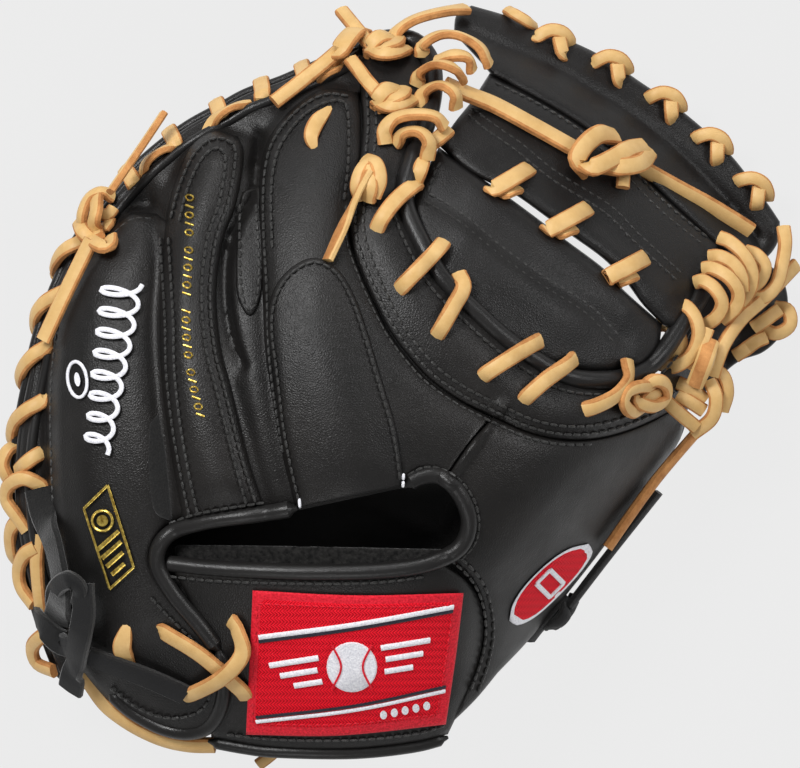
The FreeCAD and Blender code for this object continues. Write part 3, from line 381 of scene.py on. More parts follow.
def fill(loops, pitch, rings):
    """Triangles in plan that fill an outline, less the holes after it."""
    low, high = loops[0].min(axis=0), loops[0].max(axis=0)
    rows = np.arange(low[1], high[1], pitch * 0.866)
    columns = np.arange(low[0], high[0], pitch)
    x, y = np.meshgrid(columns, rows)
    x = x + (np.arange(len(rows)) % 2 * pitch / 2)[:, None]
    parts = [(np.stack([x.ravel(), y.ravel()], axis=1), rings[-1] + 0.55 * pitch)]
    for ring in rings:
        for loop in loops:
            for side in (1, -1):
                closed = np.vstack([loop[-1:], loop, loop[:1]])
                parts.append((left_of(closed, ring * side)[1:-1], ring * 0.93))
    points, edges = [], []
    for loop in loops:
        start = len(points)
        points.extend(map(tuple, loop))
        edges.extend((start + i, start + (i + 1) % len(loop)) for i in range(len(loop)))
    for part, margin in parts:
        gap = np.min([distance(part[:, 0], part[:, 1], loop, True) for loop in loops], axis=0)
        keep = (gap > margin) & in_loops(part[:, 0], part[:, 1], loops)
        points.extend(map(tuple, part[keep]))
    flat, _, faces, *_ = delaunay_2d_cdt([Vector(point) for point in points], edges, [], 0, 1e-4, False)
    flat = np.array(flat)
    faces = np.array(faces)
    centre = flat[faces].mean(axis=1)
    faces = faces[in_loops(centre[:, 0], centre[:, 1], loops)]
    used, faces = np.unique(faces, return_inverse=True)
    flat = flat[used]
    gap = np.min([distance(flat[:, 0], flat[:, 1], loop, True) for loop in loops], axis=0)
    return flat, faces.reshape(-1, 3), gap


def in_loops(x, y, loops):
    """Which points lie inside the first outline and outside the holes after it."""
    hit = inside(x, y, loops[0])
    for hole in loops[1:]:
        hit &= ~inside(x, y, hole)
    return hit


def slab(name, loops, upper, lower, material, edge=1.2, pitch=FINE, seam=0.5, sharp=60.0):
    """A closed sheet between two surfaces; its edge is round and lies at a share of its thickness."""
    flat, faces, gap = fill(loops, pitch, [edge * 0.15, edge * 0.5, edge])
    high, low = upper(flat[:, 0], flat[:, 1], gap), lower(flat[:, 0], flat[:, 1], gap)
    middle = low + (high - low) * seam
    round_off = np.sqrt(1 - (1 - np.clip(gap / edge, 0, 1)) ** 2)[:, None]
    high, low = middle + (high - middle) * round_off, middle + (low - middle) * round_off
    inner = gap > 1e-3
    index = np.arange(len(flat))
    index[inner] = len(flat) + np.arange(inner.sum())
    turned = np.cross(flat[faces[:, 1]] - flat[faces[:, 0]], flat[faces[:, 2]] - flat[faces[:, 0]])
    faces = np.where((turned < 0)[:, None], faces[:, ::-1], faces)
    builder = Builder()
    builder.add(np.vstack([high, low[inner]]), np.vstack([faces, index[faces][:, ::-1]]).tolist(), 0)
    return builder.make(name, [material], sharp)


def panel(name, loops, field, low, high, material, edge=1.2, puff=0.0, puff_width=8.0, **more):
    """Leather laid on a field, from one lift to another, puffed up away from its edge."""
    loops = loops if isinstance(loops, list) else [loops]

    def upper(x, y, gap):
        return field.at(x, y, high + puff * (1 - np.exp(-gap / puff_width)))

    def lower(x, y, gap):
        return field.at(x, y, low)

    return slab(name, loops, upper, lower, material, edge, **more)


def stitches(builder, field, line, lift, pitch=STITCH_PITCH, width=1.0, step_over=0.0):
    """A row of thread stitches along a plan line; each dips into the leather at both ends."""
    path = left_of(smooth(line, 1.0), step_over) if step_over else smooth(line, 1.0)
    places = spaced(path, pitch)
    section = [(math.cos(turn) * width / 2, math.sin(turn) * width / 2)
        for turn in np.arange(6) * math.pi / 3]
    for (ax, ay), (bx, by) in zip(places, places[1:]):
        share = np.array([0.1, 0.2, 0.5, 0.8, 0.9])
        x, y = ax + (bx - ax) * share, ay + (by - ay) * share
        points = field.at(x, y, lift + np.array([-0.5, 0.05, 0.3, 0.05, -0.5]))
        size = np.array([0.4, 0.9, 1.0, 0.9, 0.4])[:, None, None]
        builder.sweep(points, field.normal(x, y), np.array(section)[None] * size, [0])


def ribbon_section(width, thickness):
    """A flat lace: a slightly crowned grain side, and a flesh side and edges."""
    w, t, r = width / 2, thickness / 2, thickness * 0.24
    points = [(-w + r, t), (0, t + 0.12 * thickness), (w - r, t), (w, t - r), (w, r - t), (w - r, -t),
        (r - w, -t), (-w, r - t), (-w, t - r)]
    return np.array(points[::-1]), [1, 1, 1, 1, 1, 1, 0, 0, 1]


def strand(builder, field, stops, width=LACE, thickness=LACE_THICKNESS, pointed=False):
    """A lace through stops (x, y, lift, roll): roll turns it about its length, in degrees."""
    stops = np.array([tuple(stop) + (0.0,) * (4 - len(stop)) for stop in stops], float)
    line = smooth(stops, 1.1)
    points = field.at(line[:, 0], line[:, 1], line[:, 2])
    ribbon(builder, points, field.normal(line[:, 0], line[:, 1]), line[:, 3], width, thickness, pointed)


def lace_piece(name, field, strands, nodes=(), width=LACE, thickness=THICK_LACE, pointed=False, turned=False):
    """One piece of lace made of strands: each is a list of stops, or a pair of stops and a width."""
    builder = Builder()
    for stops in strands:
        stops, wide = stops if isinstance(stops, tuple) else (stops, width)
        strand(builder, field, stops, wide, thickness, pointed)
    place(builder.make(name, LACES[::-1] if turned else LACES), nodes)


def ribbon(builder, points, ups, roll, width=LACE, thickness=LACE_THICKNESS, pointed=False):
    along = np.gradient(points, axis=0)
    across = np.cross(along, ups)
    across /= np.linalg.norm(across, axis=1)[:, None]
    up = np.cross(across, along)
    up /= np.linalg.norm(up, axis=1)[:, None]
    turn = np.radians(roll)[:, None]
    section, kinds = ribbon_section(width, thickness)
    if pointed:
        taper = np.sin(np.linspace(0.06, 0.94, len(points)) * math.pi) ** 0.7
        section = section[None] * np.stack([taper, np.ones_like(taper)], axis=1)[:, None, :]
    builder.sweep(points, up * np.cos(turn) + across * np.sin(turn), section, kinds, caps=1)


def tube(name, line, field, lift, diameter, material, sides=12):
    """A rolled leather binding along a plan line."""
    path = smooth(line, 1.5)
    lifts = np.interp(np.linspace(0, 1, len(path)), np.linspace(0, 1, np.size(lift)), np.ravel(lift))
    turns = np.arange(sides) * 2 * math.pi / sides
    section = np.stack([np.cos(turns) * diameter / 2, np.sin(turns) * diameter / 2], axis=1)
    ends = np.clip(np.minimum(np.arange(len(path)), np.arange(len(path))[::-1]) / 2.0, 0.25, 1.0)
    builder = Builder()
    builder.sweep(field.at(path[:, 0], path[:, 1], lifts), field.normal(path[:, 0], path[:, 1]),
        section[None] * ends[:, None, None], [0])
    return builder.make(name, [material])


# ---- Materials -------------------------------------------------------------------------------------
def principled(name, roughness, **fixed):
    material = bpy.data.materials.new(name)
    material.use_nodes = True
    tree = material.node_tree
    shader = tree.nodes["Principled BSDF"]
    shader.inputs["Roughness"].default_value = roughness
    for socket, value in fixed.items():
        shader.inputs[socket.replace("_", " ")].default_value = value
    return material, tree, shader, tree.nodes.new("ShaderNodeTexCoord").outputs["Object"]


def noise(tree, place_in, scale, detail=3.0, roughness=0.55):
    node = tree.nodes.new("ShaderNodeTexNoise")
    node.inputs["Scale"].default_value = scale
    node.inputs["Detail"].default_value = detail
    node.inputs["Roughness"].default_value = roughness
    tree.links.new(place_in, node.inputs["Vector"])
    return node.outputs["Fac"]


def cells(tree, place_in, scale):
    node = tree.nodes.new("ShaderNodeTexVoronoi")
    node.feature = "DISTANCE_TO_EDGE"
    node.inputs["Scale"].default_value = scale
    tree.links.new(place_in, node.inputs["Vector"])
    return node.outputs["Distance"]


def blend_colours(tree, factor, low, high, start=0.3, end=0.7):
    node = tree.nodes.new("ShaderNodeValToRGB")
    node.color_ramp.elements[0].position, node.color_ramp.elements[1].position = start, end
    node.color_ramp.elements[0].color, node.color_ramp.elements[1].color = (*low, 1), (*high, 1)
    tree.links.new(factor, node.inputs["Fac"])
    return node.outputs["Color"]


def spread(tree, factor, low, high):
    node = tree.nodes.new("ShaderNodeMapRange")
    node.inputs["From Min"].default_value, node.inputs["From Max"].default_value = 0.3, 0.7
    node.inputs["To Min"].default_value, node.inputs["To Max"].default_value = low, high
    tree.links.new(factor, node.inputs["Value"])
    return node.outputs["Result"]


def bump(tree, shader, heights):
    """Bumps on a shader: each entry is (height output, strength, depth in metres)."""
    normal = None
    for height, strength, depth in heights:
        node = tree.nodes.new("ShaderNodeBump")
        node.inputs["Strength"].default_value = strength
        node.inputs["Distance"].default_value = depth
        tree.links.new(height, node.inputs["Height"])
        if normal:
            tree.links.new(normal, node.inputs["Normal"])
        normal = node.outputs["Normal"]
    tree.links.new(normal, shader.inputs["Normal"])


def leather(name, dark, light, roughness=(0.34, 0.48), grain=0.5):
    material, tree, shader, here = principled(name, 0.45, Specular_IOR_Level=0.31)
    cloud = noise(tree, here, 26.0, 4.0)
    tree.links.new(blend_colours(tree, cloud, dark, light), shader.inputs["Base Color"])
    tree.links.new(spread(tree, noise(tree, here, 60.0), *roughness), shader.inputs["Roughness"])
    bump(tree, shader, [(noise(tree, here, 170.0, 4.0), 0.25, 0.0006),
        (cells(tree, here, 1150.0), grain, 0.0003), (noise(tree, here, 2200.0, 2.0), 0.4, 0.0002)])
    return material


def rawhide(name, dark, light, roughness, fuzz):
    material, tree, shader, here = principled(name, roughness, Specular_IOR_Level=0.35)
    patch = noise(tree, here, 120.0, 5.0, 0.7)
    tree.links.new(blend_colours(tree, patch, dark, light), shader.inputs["Base Color"])
    bump(tree, shader, [(noise(tree, here, 900.0, 3.0), fuzz, 0.0003)])
    return material


def cloth(name, dark, light, scale, depth, roughness=0.75, sheen=0.2):
    material, tree, shader, here = principled(name, roughness, Sheen_Weight=sheen, Specular_IOR_Level=0.2)
    thread = noise(tree, here, scale, 2.0)
    tree.links.new(blend_colours(tree, thread, dark, light), shader.inputs["Base Color"])
    bump(tree, shader, [(thread, 0.6, depth)])
    return material


def woven(name, dark, light):
    """Rows of slanted thread that turn about from one row to the next."""
    material, tree, shader, here = principled(name, 0.65, Specular_IOR_Level=0.12)

    def calc(operation, first, second=0.0):
        node = tree.nodes.new("ShaderNodeMath")
        node.operation = operation
        for socket, value in zip(node.inputs, (first, second)):
            if isinstance(value, float):
                socket.default_value = value
            else:
                tree.links.new(value, socket)
        return node.outputs[0]

    split = tree.nodes.new("ShaderNodeSeparateXYZ")
    tree.links.new(here, split.inputs[0])
    row = calc("PINGPONG", split.outputs["Y"], 0.0012)
    slant = calc("ADD", split.outputs["X"], calc("MULTIPLY", row, 1.1))
    thread = calc("PINGPONG", slant, 0.00055)
    height = calc("ADD", calc("MULTIPLY", thread, 1750.0), calc("MULTIPLY", row, 260.0))
    tree.links.new(blend_colours(tree, height, dark, light, 0.1, 1.0), shader.inputs["Base Color"])
    bump(tree, shader, [(height, 0.8, 0.0004)])
    return material


def foil(name):
    material, tree, shader, here = principled(name, 0.3, Metallic=0.9)
    speck = noise(tree, here, 700.0, 3.0)
    tree.links.new(blend_colours(tree, speck, (0.28, 0.16, 0.02), (0.95, 0.72, 0.17)),
        shader.inputs["Base Color"])
    bump(tree, shader, [(speck, 0.3, 0.0002)])
    return material


BLACK = leather("black_leather", (0.0060, 0.0057, 0.0056), (0.0115, 0.0102, 0.0095))
PALM = leather("palm_leather", (0.0095, 0.0088, 0.0085), (0.0185, 0.016, 0.0145), (0.34, 0.5))
WEB_BLACK = leather("web_leather", (0.0060, 0.0057, 0.0057), (0.0105, 0.0095, 0.0092))
BINDING = leather("binding_leather", (0.010, 0.0098, 0.0098), (0.017, 0.016, 0.0155), (0.26, 0.38), 0.15)
THONG = leather("thong_leather", (0.006, 0.006, 0.0065), (0.011, 0.011, 0.0115), (0.55, 0.7))
SUEDE = cloth("thong_suede", (0.004, 0.004, 0.0042), (0.014, 0.0135, 0.013), 1800.0, 0.0004, 0.9, 0.4)
LINING = leather("lining_leather", (0.006, 0.0058, 0.0056), (0.012, 0.011, 0.0105), (0.5, 0.65))
THREAD = cloth("black_thread", (0.006, 0.006, 0.006), (0.055, 0.054, 0.052), 2500.0, 0.0001, 0.4, 0.1)
GRAIN = rawhide("tan_grain", (0.58, 0.35, 0.125), (0.69, 0.455, 0.19), 0.5, 0.12)
FLESH = rawhide("tan_flesh", (0.33, 0.125, 0.033), (0.66, 0.32, 0.11), 0.85, 0.9)
FUR = cloth("fur_pile", (0.002, 0.002, 0.002), (0.022, 0.021, 0.020), 650.0, 0.0015, 0.95, 0.15)
FELT = cloth("felt_pad", (0.36, 0.32, 0.26), (0.55, 0.5, 0.42), 500.0, 0.0008, 0.95, 0.3)
RED = woven("red_weave", (0.42, 0.001, 0.008), (0.95, 0.010, 0.028))
RED_EDGE = cloth("red_edging", (0.46, 0.002, 0.012), (0.84, 0.018, 0.04), 1500.0, 0.0003, 0.6, 0.05)
WHITE = cloth("white_thread", (0.62, 0.62, 0.68), (0.92, 0.92, 0.95), 1500.0, 0.0003, 0.55, 0.3)
NAVY = cloth("dark_thread", (0.006, 0.006, 0.012), (0.02, 0.02, 0.035), 1500.0, 0.0003, 0.6, 0.2)
GOLD = foil("gold_foil")
LACES = [GRAIN, FLESH]


# ---- Back panels -----------------------------------------------------------------------------------
WEB_SIDE = [(-2, 113), (8, 106), (8, 95), (3, 80), (0, 66)] + WEB_BASE[4:]
THUMB_SIDE = [(99, 9), (97, -4)] + THUMB_OUTER[::-1] + [(25, -105)]


def hand_outline():
    """The whole mitt in plan, without its web."""
    return outline(FINGER_RIM, [(-12.5, 113.5), (-2, 113)], WEB_SIDE, THUMB_SIDE, HEEL_RIM)


def make_back_panels():
    hole = outline(
        [(-78, -60), (-79, -57), (-74.5, -50.5), (-62, -47), (-34, -42)],
        [(-34, -42), (1, -34.5)],
        [(1, -34.5), (8, -32.5), (15, -34), (20, -41), (21, -47), (17.5, -54), (8, -59), (-10, -61),
         (-50, -61), (-78, -60)])
    base = panel("back_lining_leather", [hand_outline(), hole], back, -3.4, -1.0, LINING, pitch=3.0)
    place(base, ["back_lining"])

    edge = outline(FINGER_RIM,
        [(-12.5, 113.5), (-13, 97)],
        [(-13, 97), (-22, 95), (-31, 92), (-40, 85), (-46, 76), (-54, 79), (-64, 77), (-72, 64), (-77, 53),
         (-89, 52), (-98, 46), (-106, 37), (-111, 28), (-113.5, 18), (-115, -5), (-114.5, -25),
         (-113, -50), (-110, -75), (-106, -93)],
        [(-106, -93), (-112, -99)])
    place(panel("edge_panel_leather", edge, back, -0.6, 1.7, BLACK), ["edge_panel"])

    pinky = outline(
        [(-110, -91), (-113.3, -75), (-116.5, -50), (-117.8, -25), (-118, 0), (-115.5, 20), (-111.5, 31),
         (-105.5, 42), (-98, 50.5), (-90, 57), (-81, 57)],
        [(-81, 57), (-76, 50), (-76, 20), (-73, -12), (-70, -44)],
        [(-70, -44), (-79, -48.5), (-83, -58), (-78, -68.5), (-69, -79.5), (-61.5, -89.5)],
        [(-61.5, -89.5), (-58, -96), (-57.5, -108), (-62.5, -116), (-70, -118.5), (-80, -116.5),
         (-90, -112), (-101, -103), (-110, -91)])
    place(panel("pinky_stall_leather", pinky, back, -0.4, 3.0, BLACK, edge=2.4, puff=1.6),
        ["pinky_stall"])

    ring = outline(
        [(-72.5, -46), (-76, -28), (-78.5, -12), (-80.3, 5), (-80.6, 22), (-80.2, 38), (-78.5, 52),
         (-75.5, 66), (-70, 79), (-62, 84.5), (-54, 82.5)],
        [(-54, 82.5), (-52, 76), (-54.5, 60), (-59, 47), (-61, 30), (-59.5, 12), (-56.5, 0), (-53.5, -12),
         (-50, -26), (-45.5, -40)],
        [(-45.5, -40), (-72.5, -46)])
    place(panel("ring_stall_leather", ring, back, 0.9, 3.9, BLACK, edge=1.6, puff=1.6),
        ["ring_stall"])

    middle = outline(
        [(-55, -42), (-34, -40)],
        [(-34, -40), (-37, -22), (-40, -4), (-42, 12), (-43, 30), (-44, 45), (-44.5, 62), (-44.5, 84)],
        [(-44.5, 84), (-54.5, 84)],
        [(-54.5, 84), (-58, 62), (-63, 40), (-62, 18), (-58, -5), (-55, -42)])
    place(panel("middle_stall_leather", middle, back, -0.6, 1.5, BLACK, puff=0.8),
        ["middle_stall"])
    tongue = outline(
        [(-52.6, 64), (-54, 52), (-54.6, 40), (-54, 29), (-50, 22.5), (-46.3, 29), (-45.6, 44), (-46.4, 56),
         (-46.8, 66)],
        [(-46.8, 66), (-52.6, 64)])
    place(panel("middle_stall_tongue", tongue, back, 1.0, 3.2, BLACK, edge=0.9))
    suede = outline(
        [(-83.5, -13), (-84, -28), (-82, -42), (-75.5, -46)],
        [(-75.5, -46), (-77.5, -25), (-80, -9)],
        [(-80, -9), (-83.5, -13)])
    place(panel("ring_stall_tab", suede, back, 1.6, 4.4, SUEDE, edge=0.8))

    index = outline(
        [(-35, -40.5), (-39.5, -22), (-43, -2), (-45, 12), (-45.8, 30), (-46.7, 45), (-47.2, 60),
         (-46.5, 72), (-44, 81.5), (-38, 90), (-31, 96), (-24, 98.8), (-14, 97.5)],
        [(-14, 97.5), (-13, 88), (-13.5, 74), (-15.7, 61), (-17, 49), (-13.7, 38), (-8.8, 27), (-4, 17.5),
         (2.2, 9), (9, 1.5), (19, -5.5), (30, -11)],
        [(30, -11), (22.5, -20), (15.5, -30)],
        [(15.5, -30), (7, -28.3), (1, -32.5)],
        [(1, -32.5), (-35, -40.5)])
    place(panel("index_stall_leather", index, back, 0.2, 2.9, BLACK, edge=1.6, puff=0.8),
        ["index_stall"])
    pad = outline([(-33.6, -41.5), (-37.5, -27), (-40, -14), (-42, 3), (-43.8, 16), (-43.6, 26),
        (-40.5, 34), (-35, 39.5), (-28, 42), (-20.5, 38), (-15, 29), (-11, 18), (-8, 8), (-5, -2),
        (-2, -12), (0, -22), (1.4, -33)], PAD_BOTTOM[::-1])
    flap = place(panel("index_pad_leather", pad, back, 3.2, 5.0, BLACK, edge=1.2, puff=0.9, puff_width=12),
        ["index_finger_pad"])

    side = outline(INDEX_SEAM, THUMB_SEAM,
        [(97, -5), (100, 9)],
        [(100, 9), (93, 7), (86, 3), (75, 0), (63, -0.5), (54, 1.5), (45.5, 6), (36, 12.5), (25, 23),
         (15, 34), (6.5, 46), (1, 57), (0, 66), (3, 78), (7.5, 88), (9.5, 97), (8.5, 106), (3, 112),
         (-5, 113.5), (-12.5, 112)])
    place(panel("web_side_leather", side, back, -0.2, 2.4, BLACK, edge=1.2, puff=0.5),
        ["web_side_panel_fingers", "web_side_panel_thumb"])

    thumb = outline(
        [(15.5, -31), (23, -20), (31, -11)], THUMB_SEAM,
        [(97, -5), (94, -18.4)], THUMB_OUTER[::-1],
        [(32.7, -96.5), (25.4, -105.2), (16.8, -113.6)],
        [(16.8, -113.6), (22.4, -102), (26.4, -92), (28.2, -82), (27, -72), (23, -64.5), (16, -58)],
        [(16, -58), (22, -53), (24, -46), (22, -38), (15.5, -31)])
    place(panel("thumb_leather", thumb, back, -0.2, 2.6, BLACK, edge=1.4, puff=0.6),
        ["thumb_root_panel", "thumb_panel"])


def make_strap():
    strap = outline(
        [(-76, -61), (-69, -75), (-66, -92), (-64, -110), (-63, -118)],
        [(-63, -118), (-41, -121.5), (-16, -121.8), (5, -119.5), (16, -117)],
        [(16, -117), (23, -102), (26.5, -92), (28, -82), (26.5, -72), (22, -65), (14, -59.5)],
        [(14, -59.5), (-8, -62), (-50, -62), (-76, -61)])
    place(panel("wrist_strap_leather", strap, back, -0.3, 2.2, BLACK, edge=1.2, puff=0.6),
        ["wrist_strap"])
    fur = outline(
        [(-75, -54), (-73, -75), (-66, -92), (-60, -112)],
        [(-60, -112), (-41, -116), (-16, -116), (12, -112)],
        [(12, -112), (20, -90), (22, -66), (17, -55)],
        [(17, -55), (-30, -54), (-75, -53.5)])
    pile = place(panel("strap_fur_backing", fur, back, -6.0, -3.6, FUR, pitch=3.0),
        ["strap_fur_lining"], "hand")


# ---- Palm, padding and the inside of the hand ------------------------------------------------------
PAD_TOP = 6.4
PAD_CLEAR = 2.0
THIN_PAD = 3.0
HAND_DEPTH = 30.0
PAD_RIM = [(-100, -88), (-112, -60), (-115, -35), (-114, -10), (-108, 18), (-96, 42), (-80, 60), (-60, 78),
    (-40, 88), (-22, 94), (-14, 88), (-13, 75), (-10, 60), (-4, 48), (6, 34), (18, 21), (32, 8), (50, -5),
    (70, -7), (82, -10), (74, -26), (58, -46), (42, -66), (30, -84), (18, -98), (-10, -106), (-50, -108),
    (-80, -100)]


def pad_top_z(x, y):
    """Top of the padding, pressed down where the hand goes."""
    right = 34 - np.maximum(0, y + 20) * 0.5
    hand = ramp((x + 100) / 24) * ramp((right - x) / 24) * ramp((78 - y) / 26)
    lowest = palm_z(x, y) + LEATHER + PAD_CLEAR + THIN_PAD
    return np.maximum(back_z(x, y) - PAD_TOP - HAND_DEPTH * hand, lowest)


padding = Field(pad_top_z, pitch=2.0)


def make_palm():
    leather_sheet = panel("palm_leather_sheet", hand_outline(), palm, 0, LEATHER, PALM, edge=2.4, pitch=2.6)
    place(leather_sheet, ["palm_leather_fingers", "palm_leather_thumb"])
    pad = slab("palm_felt_pad", [outline(PAD_RIM, [PAD_RIM[-1], PAD_RIM[0]], step=4)], lambda x, y,
        gap: padding.at(x, y, -0.3), lambda x, y, gap: palm.at(x, y, LEATHER + 0.6), FELT, edge=2.5,
        pitch=4.5)
    place(pad, ["palm_pad_fingers", "palm_pad_thumb"])

    inner = outline(
        [(-84, -104), (-50, -109), (-30, -109), (-10, -106.5), (16, -98)],
        [(16, -98), (27, -64), (27, -26), (8, 16), (-10, 50)],
        [(-10, 50), (-40, 56), (-70, 50)],
        [(-70, 50), (-78, 0), (-86, -60), (-84, -104)])
    lining = panel("hand_lining_sheet", inner, padding, 0.6, 2.2, LINING, pitch=3.2)
    place(lining, ["hand_lining"], "hand")
    inner = outline([(44, -58), (60, -47), (73, -27), (64, -32)], [(64, -32), (44, -58)])
    place(panel("thumb_lining_sheet", inner, padding, 0.6, 2.0, LINING, pitch=3.2),
        ["thumb_lining"])


def make_walls():
    """The leather that closes the mitt's side between its back and its palm, open at the wrist."""
    finger_side = [(-2, 113), (-12.5, 113.5)] + FINGER_RIM[::-1] + [(-96, -106), (-80, -112)]
    wrist = [(-86, -106), (-70, -109.5), (-50, -111), (-30, -111), (-10, -108.5), (8, -103.5), (22, -97)]
    for name, roof, plan in (("thumb_side_wall", back, THUMB_SIDE[::-1]),
            ("web_side_wall", back, WEB_SIDE[::-1]), ("finger_side_wall", back, finger_side),
            ("wrist_lining_edge", padding, wrist)):
        line = smooth(plan, 2.0)
        rows = []
        for step in (0.8, 2.4):
            x, y = left_of(line, step).T
            rows.append((roof.at(x, y, -0.8 if roof is back else 2.0), palm.at(x, y, 0.8)))
        (top, bottom), (inner_top, inner_bottom) = rows
        size = len(line)
        faces = []
        for first in range(4):
            a, b = first * size, (first + 1) % 4 * size
            faces += [(a + i, a + i + 1, b + i + 1, b + i) for i in range(size - 1)]
        faces += [(0, size, 2 * size, 3 * size), (size - 1, 4 * size - 1, 3 * size - 1, 2 * size - 1)]
        builder = Builder()
        builder.add(np.vstack([top, bottom, inner_bottom, inner_top]), faces, 0)
        place(builder.make(name, [PALM]), (), "hand" if roof is padding else None)


# ---- Sewn and stamped marks, all plain shapes ------------------------------------------------------
def mark(builder, field, loop, low, high, kind=0):
    """A small raised patch inside a rounded outline."""
    loop = np.asarray(loop, float)
    centre = loop.mean(axis=0)
    inner = centre + (loop - centre) * 0.93
    size = len(loop)
    points = np.vstack([field.at(loop[:, 0], loop[:, 1], low), field.at(inner[:, 0], inner[:, 1], high),
        field.at(centre[:1], centre[1:], high)])
    following = [(i + 1) % size for i in range(size)]
    faces = [(i, j, size + j, size + i) for i, j in enumerate(following)]
    faces += [(size + i, size + j, 2 * size) for i, j in enumerate(following)]
    builder.add(points, faces, kind)


def disc(centre, across, along=None, turn=0.0, sides=28):
    angles = np.arange(sides) * 2 * math.pi / sides
    x, y = np.cos(angles) * across, np.sin(angles) * (along or across)
    turn = math.radians(turn)
    return np.stack([centre[0] + x * math.cos(turn) - y * math.sin(turn),
        centre[1] + x * math.sin(turn) + y * math.cos(turn)], axis=1)


def line_mark(builder, field, stops, width, lift, thickness=0.8, kind=0):
    """A raised line of thread or foil."""
    path = smooth(stops, 0.9)
    section, _ = ribbon_section(width, thickness)
    builder.sweep(field.at(path[:, 0], path[:, 1], lift), field.normal(path[:, 0], path[:, 1]), section,
        [kind], kind)


def ring_mark(builder, field, centre, across, along, turn, width, lift):
    loop = disc(centre, across, along, turn, 40)
    line_mark(builder, field, np.vstack([loop, loop[:1]]), width, lift)


STRAP_TOP = 2.8
LABEL_TILT = 9.0
BALL_CENTRE = (-16.0, -94.2)
BALL_RADIUS = 8.6


def make_label():
    loop = outline(
        [(-51.4, -117), (-20, -117.2), (15.3, -113.6)],
        [(15.3, -113.6), (18.6, -91), (21.2, -69.5)],
        [(21.2, -69.5), (-15, -70.2), (-49, -68.6)],
        [(-49, -68.6), (-50, -90), (-51.4, -117)])
    label = panel("strap_label_cloth", loop, back, STRAP_TOP, STRAP_TOP + 1.2, RED_EDGE, edge=0.9)
    place(label, ["strap_label"], "hand")
    loop = outline(
        [(-48.6, -114.2), (-20, -114.4), (12.9, -111)],
        [(12.9, -111), (16, -91), (18.2, -72.4)],
        [(18.2, -72.4), (-15, -73), (-46.3, -71.5)],
        [(-46.3, -71.5), (-47.3, -90), (-48.6, -114.2)])
    weave = place(panel("strap_label_weave", loop, back, STRAP_TOP + 0.5, STRAP_TOP + 1.35, RED, edge=0.5),
        (), "hand")
    builder = Builder()
    high = STRAP_TOP + 1.5
    line_mark(builder, back, [(-47, -84.3), (-15, -80), (17.8, -74.2)], 1.7, high, 0.6, 0)
    line_mark(builder, back, [(-47, -85.7), (-15, -81.4), (17.6, -75.6)], 1.2, high, 0.5, 1)
    line_mark(builder, back, [(-48, -111.2), (-15, -107.2), (15.2, -100.9)], 1.1, high, 0.5, 1)
    line_mark(builder, back, [(-48, -112.6), (-15, -108.6), (15, -102.3)], 1.4, high, 0.6, 0)
    centre = np.array(BALL_CENTRE)
    mark(builder, back, disc(centre, BALL_RADIUS), high - 0.4, high + 0.5, 0)
    for side in (-1, 1):
        bow = [centre + np.array([side * (BALL_RADIUS - depth), rise]) for depth,
            rise in ((2.0, 7.4), (5.0, 0.0), (2.0, -7.4))]
        line_mark(builder, back, bow, 0.7, high + 0.6, 0.4, 2)
        tilt = math.radians(LABEL_TILT)
        for rise, start, end in ((4.8, 10.5, 27), (0.8, 11.5, 24), (-3.2, 10.5, 20)):
            ends = [centre + np.array([side * reach * math.cos(tilt) - rise * math.sin(tilt),
                side * reach * math.sin(tilt) + rise * math.cos(tilt)])
                for reach in (start, (start + end) / 2, end)]
            line_mark(builder, back, ends, 2.0, high, 0.8, 0)
    for step in range(5):
        mark(builder, back, disc((-5.5 + step * 3.6, -110.3 + step * 0.75), 1.2, 1.5), high - 0.4,
            high + 0.3, 0)
    marks = place(builder.make("strap_label_marks", [WHITE, NAVY, RED_EDGE]), (), "hand")
    builder = Builder()
    for line in ([(-47.6, -73), (-15, -74.2), (17.2, -73.6)],
            [(-49, -113.2), (-20, -113.4), (12, -110.2)],
            [(-47.4, -73), (-48.4, -92), (-49.2, -113)],
            [(17.6, -74), (15.2, -92), (12.2, -110)]):
        stitches(builder, back, line, high - 0.35, 2.6, 0.6)
    sewn = place(builder.make("strap_label_stitches", [RED_EDGE]), (), "hand")


PANEL_TOP = 2.8
DIAMOND_REACH = 4.6


def make_patch():
    """The oval patch on the thumb: a white border, a red middle and a plain diamond."""
    border = outline(
        [(36.5, -79), (37.6, -73.5), (42, -66.8), (49.5, -59.5), (56.5, -55), (63, -53.4)],
        [(63, -53.4), (64.4, -56.6), (60.4, -63), (53, -71), (45.4, -77.8), (39.4, -80.6), (36.5, -79)])
    patch = place(panel("thumb_patch_cloth", border, back, PANEL_TOP, PANEL_TOP + 1.2, WHITE, edge=0.8),
        ["thumb_patch"])
    middle = border.mean(axis=0)
    field = middle + (border - middle) * 0.9
    inner = place(panel("thumb_patch_weave", field[::2], back, PANEL_TOP + 0.6, PANEL_TOP + 1.5, RED,
        edge=0.5))
    builder = Builder()
    corners = [middle + np.array(step) * DIAMOND_REACH for step in ((1, 0), (0, 1), (-1, 0), (0, -1))]
    for start, end in zip(corners, corners[1:] + corners[:1]):
        line_mark(builder, back, [start, (start + end) / 2, end], 1.7, PANEL_TOP + 1.8, 0.8)
    marks = place(builder.make("thumb_patch_marks", [WHITE]))


LOOP_STEP = 0.6
LOOP_LENGTH = 7.0
FOIL_PITCH = 2.9


